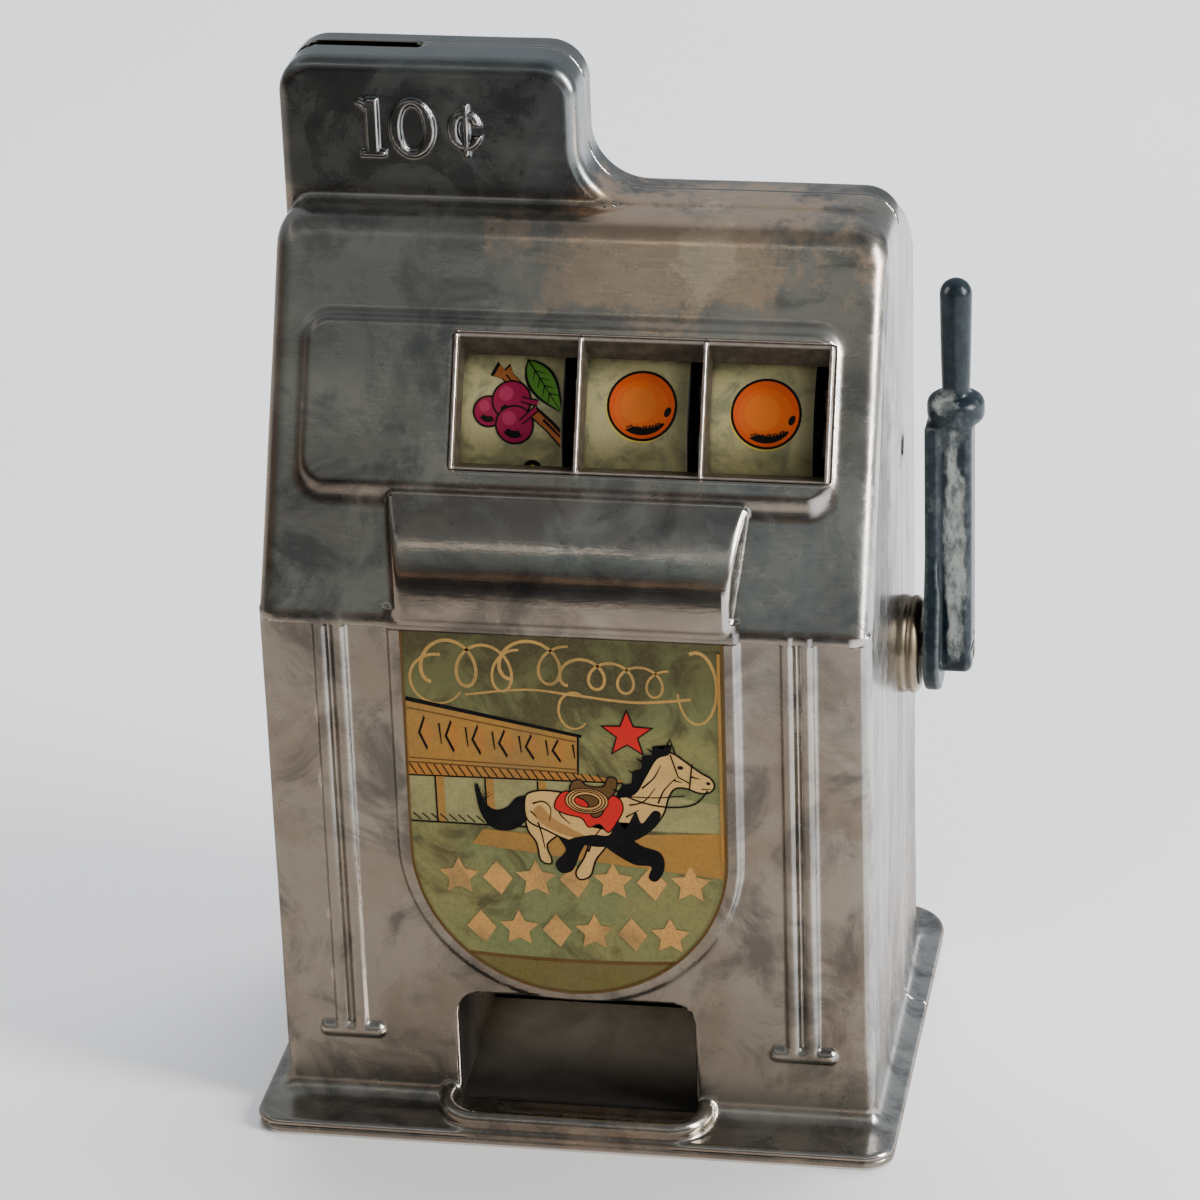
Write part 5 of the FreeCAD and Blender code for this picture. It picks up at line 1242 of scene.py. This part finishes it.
def small_skins(trim, paint, worn):
    """The grille, the handle's casting and its boss."""
    for name, field, grid, material, body, slot, stands_for in (
            ("grille_skin", grille_field, even_grid(GRILLE_LOW - (2, 3, 2), GRILLE_HIGH + (2, 4, 2), 0.3), trim,
             "housing", "bright_trim", "window_grille"),
            ("boss_skin", boss_field, even_grid(BOSS_LOW - 1, BOSS_HIGH + 1, 0.3), worn,
             "housing", "worn_steel", "handle_boss"),
            ("lever_skin", lever_field, even_grid(LEVER_LOW - (1.5, 5.5, 1.5), LEVER_HIGH + (1.5, 5.5, 1.5), 0.36),
             paint, "handle", "painted_zinc", "handle_lever")):
        declare(field_object(name, field, grid, material), body, stands_for)


def dress(material, *nodes):
    """Give CAD nodes a material in place of their own."""
    for name in nodes:
        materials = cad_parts[name].data.materials
        materials.clear()
        materials.append(material)


def build_pieces():
    case_metal = case_nickel()
    worn_metal = nickel("worn_steel", (0.34, 0.285, 0.21), (0.115, 0.085, 0.055), 0.22, 0.42, 0.09)
    case_pieces(case_metal)
    small_skins(grille_nickel(), painted_zinc(), worn_metal)
    dress(case_metal, "base_plate")
    dress(worn_metal, "case_screws", "handle_screw", "coin_plug")
    dress(plain_metal("plain_steel", (0.42, 0.42, 0.41), 0.42),
          "screw_posts", "mechanism_deck", "reel_axle", "axle_clips", "reel_spacers", "frame_left", "frame_right",
          "cross_rods", "detent_bar", "handle_shaft", "kicker", "coin_chute", "lever_bracket", "lever_pin",
          "gate_pin", "star_wheel_1", "star_wheel_2", "star_wheel_3")
    dress(plain_metal("spring_steel", (0.22, 0.22, 0.24), 0.35), "detent_springs", "shaft_clip", "return_spring")
    dress(plain_metal("brass_bush", (0.62, 0.43, 0.16), 0.35), "shaft_bushes", "coin_trip_lever")
    dress(plain_metal("drum_steel", (0.3, 0.3, 0.29), 0.5), "reel_drum_1", "reel_drum_2", "reel_drum_3")
    dress(tray_metal(), "payout_tunnel", "payout_gate")
    dress(reel_paper(), "reel_strip_1", "reel_strip_2", "reel_strip_3")
    dress(label_paper(), "front_label")
    inks = make_inks("ink", REEL_INKS)
    for reel in REEL_ORDERS:
        reel_print(reel, inks)
    label_print()


# ---------------------------------------------------------------- stage, light and camera

def ground_sheet(name, half_size, material):
    """A flat square on the ground that is not part of the object."""
    mesh = bpy.data.meshes.new(name)
    work = bmesh.new()
    bmesh.ops.create_grid(work, x_segments=1, y_segments=1, size=half_size)
    work.to_mesh(mesh)
    work.free()
    mesh.materials.append(material)
    item = put(name, mesh)
    return item


def floor():
    n = Nodes("floor_cloth")
    cloud = n.remap(n.noise(3.0, 3, 0.5), 0.3, 0.7)
    colour = n.mix(cloud, (0.86, 0.87, 0.90), (0.91, 0.91, 0.92))
    ground_sheet("floor", 4.0, n.set(base_color=colour, roughness=0.9))


def dark_cloth():
    """A dark cloth low in front of the bank, seen only in the metal's reflections."""
    n = Nodes("flag_cloth")
    far = n.remap(n.split("Y"), 0.545, 0.505)
    sheet = n.add("BsdfDiffuse", {"Color": n.mix(far, (0.19, 0.105, 0.03), (0.035, 0.035, 0.035))})
    blend = n.add("MixShader", {0: n.remap(far, 0, 1, 0.68, 1.0), 1: n.add("BsdfTransparent").outputs[0],
                                2: sheet.outputs[0]})
    n.feed(n.tree.nodes["Material Output"], {"Surface": blend.outputs[0]})
    flag = ground_sheet("flag", 1.0, n.owner)
    flag.scale = (2.0, 2.0, 1)
    flag.location = (-1.94, -1.34, 0.0004)
    for ray in ("camera", "diffuse", "shadow", "transmission"):
        setattr(flag, f"visible_{ray}", False)


def room():
    """A dim room that is darker low down and lighter overhead and behind."""
    n = Nodes("studio", "worlds")
    parts = n.add("SeparateXYZ", {0: n.coordinates["Generated"]}).outputs
    rise = n.add("ValToRGB", {"Fac": parts["Z"]})
    marks = ((0.0, (0.04, 0.04, 0.04)), (0.10, (0.045, 0.042, 0.04)), (0.15, (0.42, 0.27, 0.17)),
             (0.20, (0.06, 0.056, 0.05)), (0.33, (0.175, 0.20, 0.205)), (0.5, (0.25, 0.295, 0.30)),
             (0.575, (0.25, 0.285, 0.29)), (0.60, (1.9, 1.75, 1.55)), (0.64, (0.24, 0.26, 0.265)),
             (1.0, (0.16, 0.17, 0.175)))
    while len(rise.color_ramp.elements) < len(marks):
        rise.color_ramp.elements.new(0.5)
    for element, (mark, colour) in zip(rise.color_ramp.elements, marks):
        element.position = mark
        element.color = (*colour, 1)
    depth = n.add("MapRange", {"Value": parts["Y"], "From Min": -0.1, "From Max": 0.5})
    colour = n.mix(depth.outputs["Result"], rise.outputs["Color"], (0.40, 0.43, 0.46))
    n.feed(n.tree.nodes["Background"], {"Color": colour})
    bpy.context.scene.world = n.owner


def lamps():
    """Soft lamps: the key shows in the metal, and the other two only light it."""
    target = Vector((0, 0, 0.09))
    for name, place, size, power, colour in (
            ("key", (1.05, -0.25, 0.62), (0.35, 0.75), 21, (1.0, 0.985, 0.96)),
            ("top", (0.15, 0.9, 1.5), (1.6, 1.2), 43, (0.97, 0.98, 1.0)),
            ("fill", (-0.25, -1.5, 0.9), (0.5, 0.5), 4.5, (0.97, 0.98, 1.0))):
        data = bpy.data.lights.new(name, "AREA")
        data.shape = "RECTANGLE"
        data.size, data.size_y = size
        data.energy = power
        data.color = colour
        item = put(name, data)
        item.location = place
        item.rotation_euler = (target - Vector(place)).to_track_quat("-Z", "Y").to_euler()
        item.visible_glossy = name == "key"


def camera():
    """The camera stands to the right of the front and looks down at the case."""
    azimuth, elevation, roll = math.radians(10.677), math.radians(25.084), math.radians(-1.992)
    distance = 0.8049
    target = Vector((0.00279, -0.0136, 0.08762))
    back = Vector((math.sin(azimuth) * math.cos(elevation), -math.cos(azimuth) * math.cos(elevation),
                   math.sin(elevation)))
    level = (-back).cross(Vector((0, 0, 1))).normalized()
    upright = level.cross(-back)
    right = level * math.cos(roll) + upright * math.sin(roll)
    up = -level * math.sin(roll) + upright * math.cos(roll)
    data = bpy.data.cameras.new("camera")
    data.lens = 147.05
    data.sensor_width = 36
    data.clip_start = 0.01
    item = put("camera", data)
    turn = Matrix((right, up, back)).transposed().to_4x4()
    item.matrix_world = Matrix.Translation(target + back * distance) @ turn
    bpy.context.scene.camera = item


build_pieces()
floor()
dark_cloth()
room()
lamps()
camera()
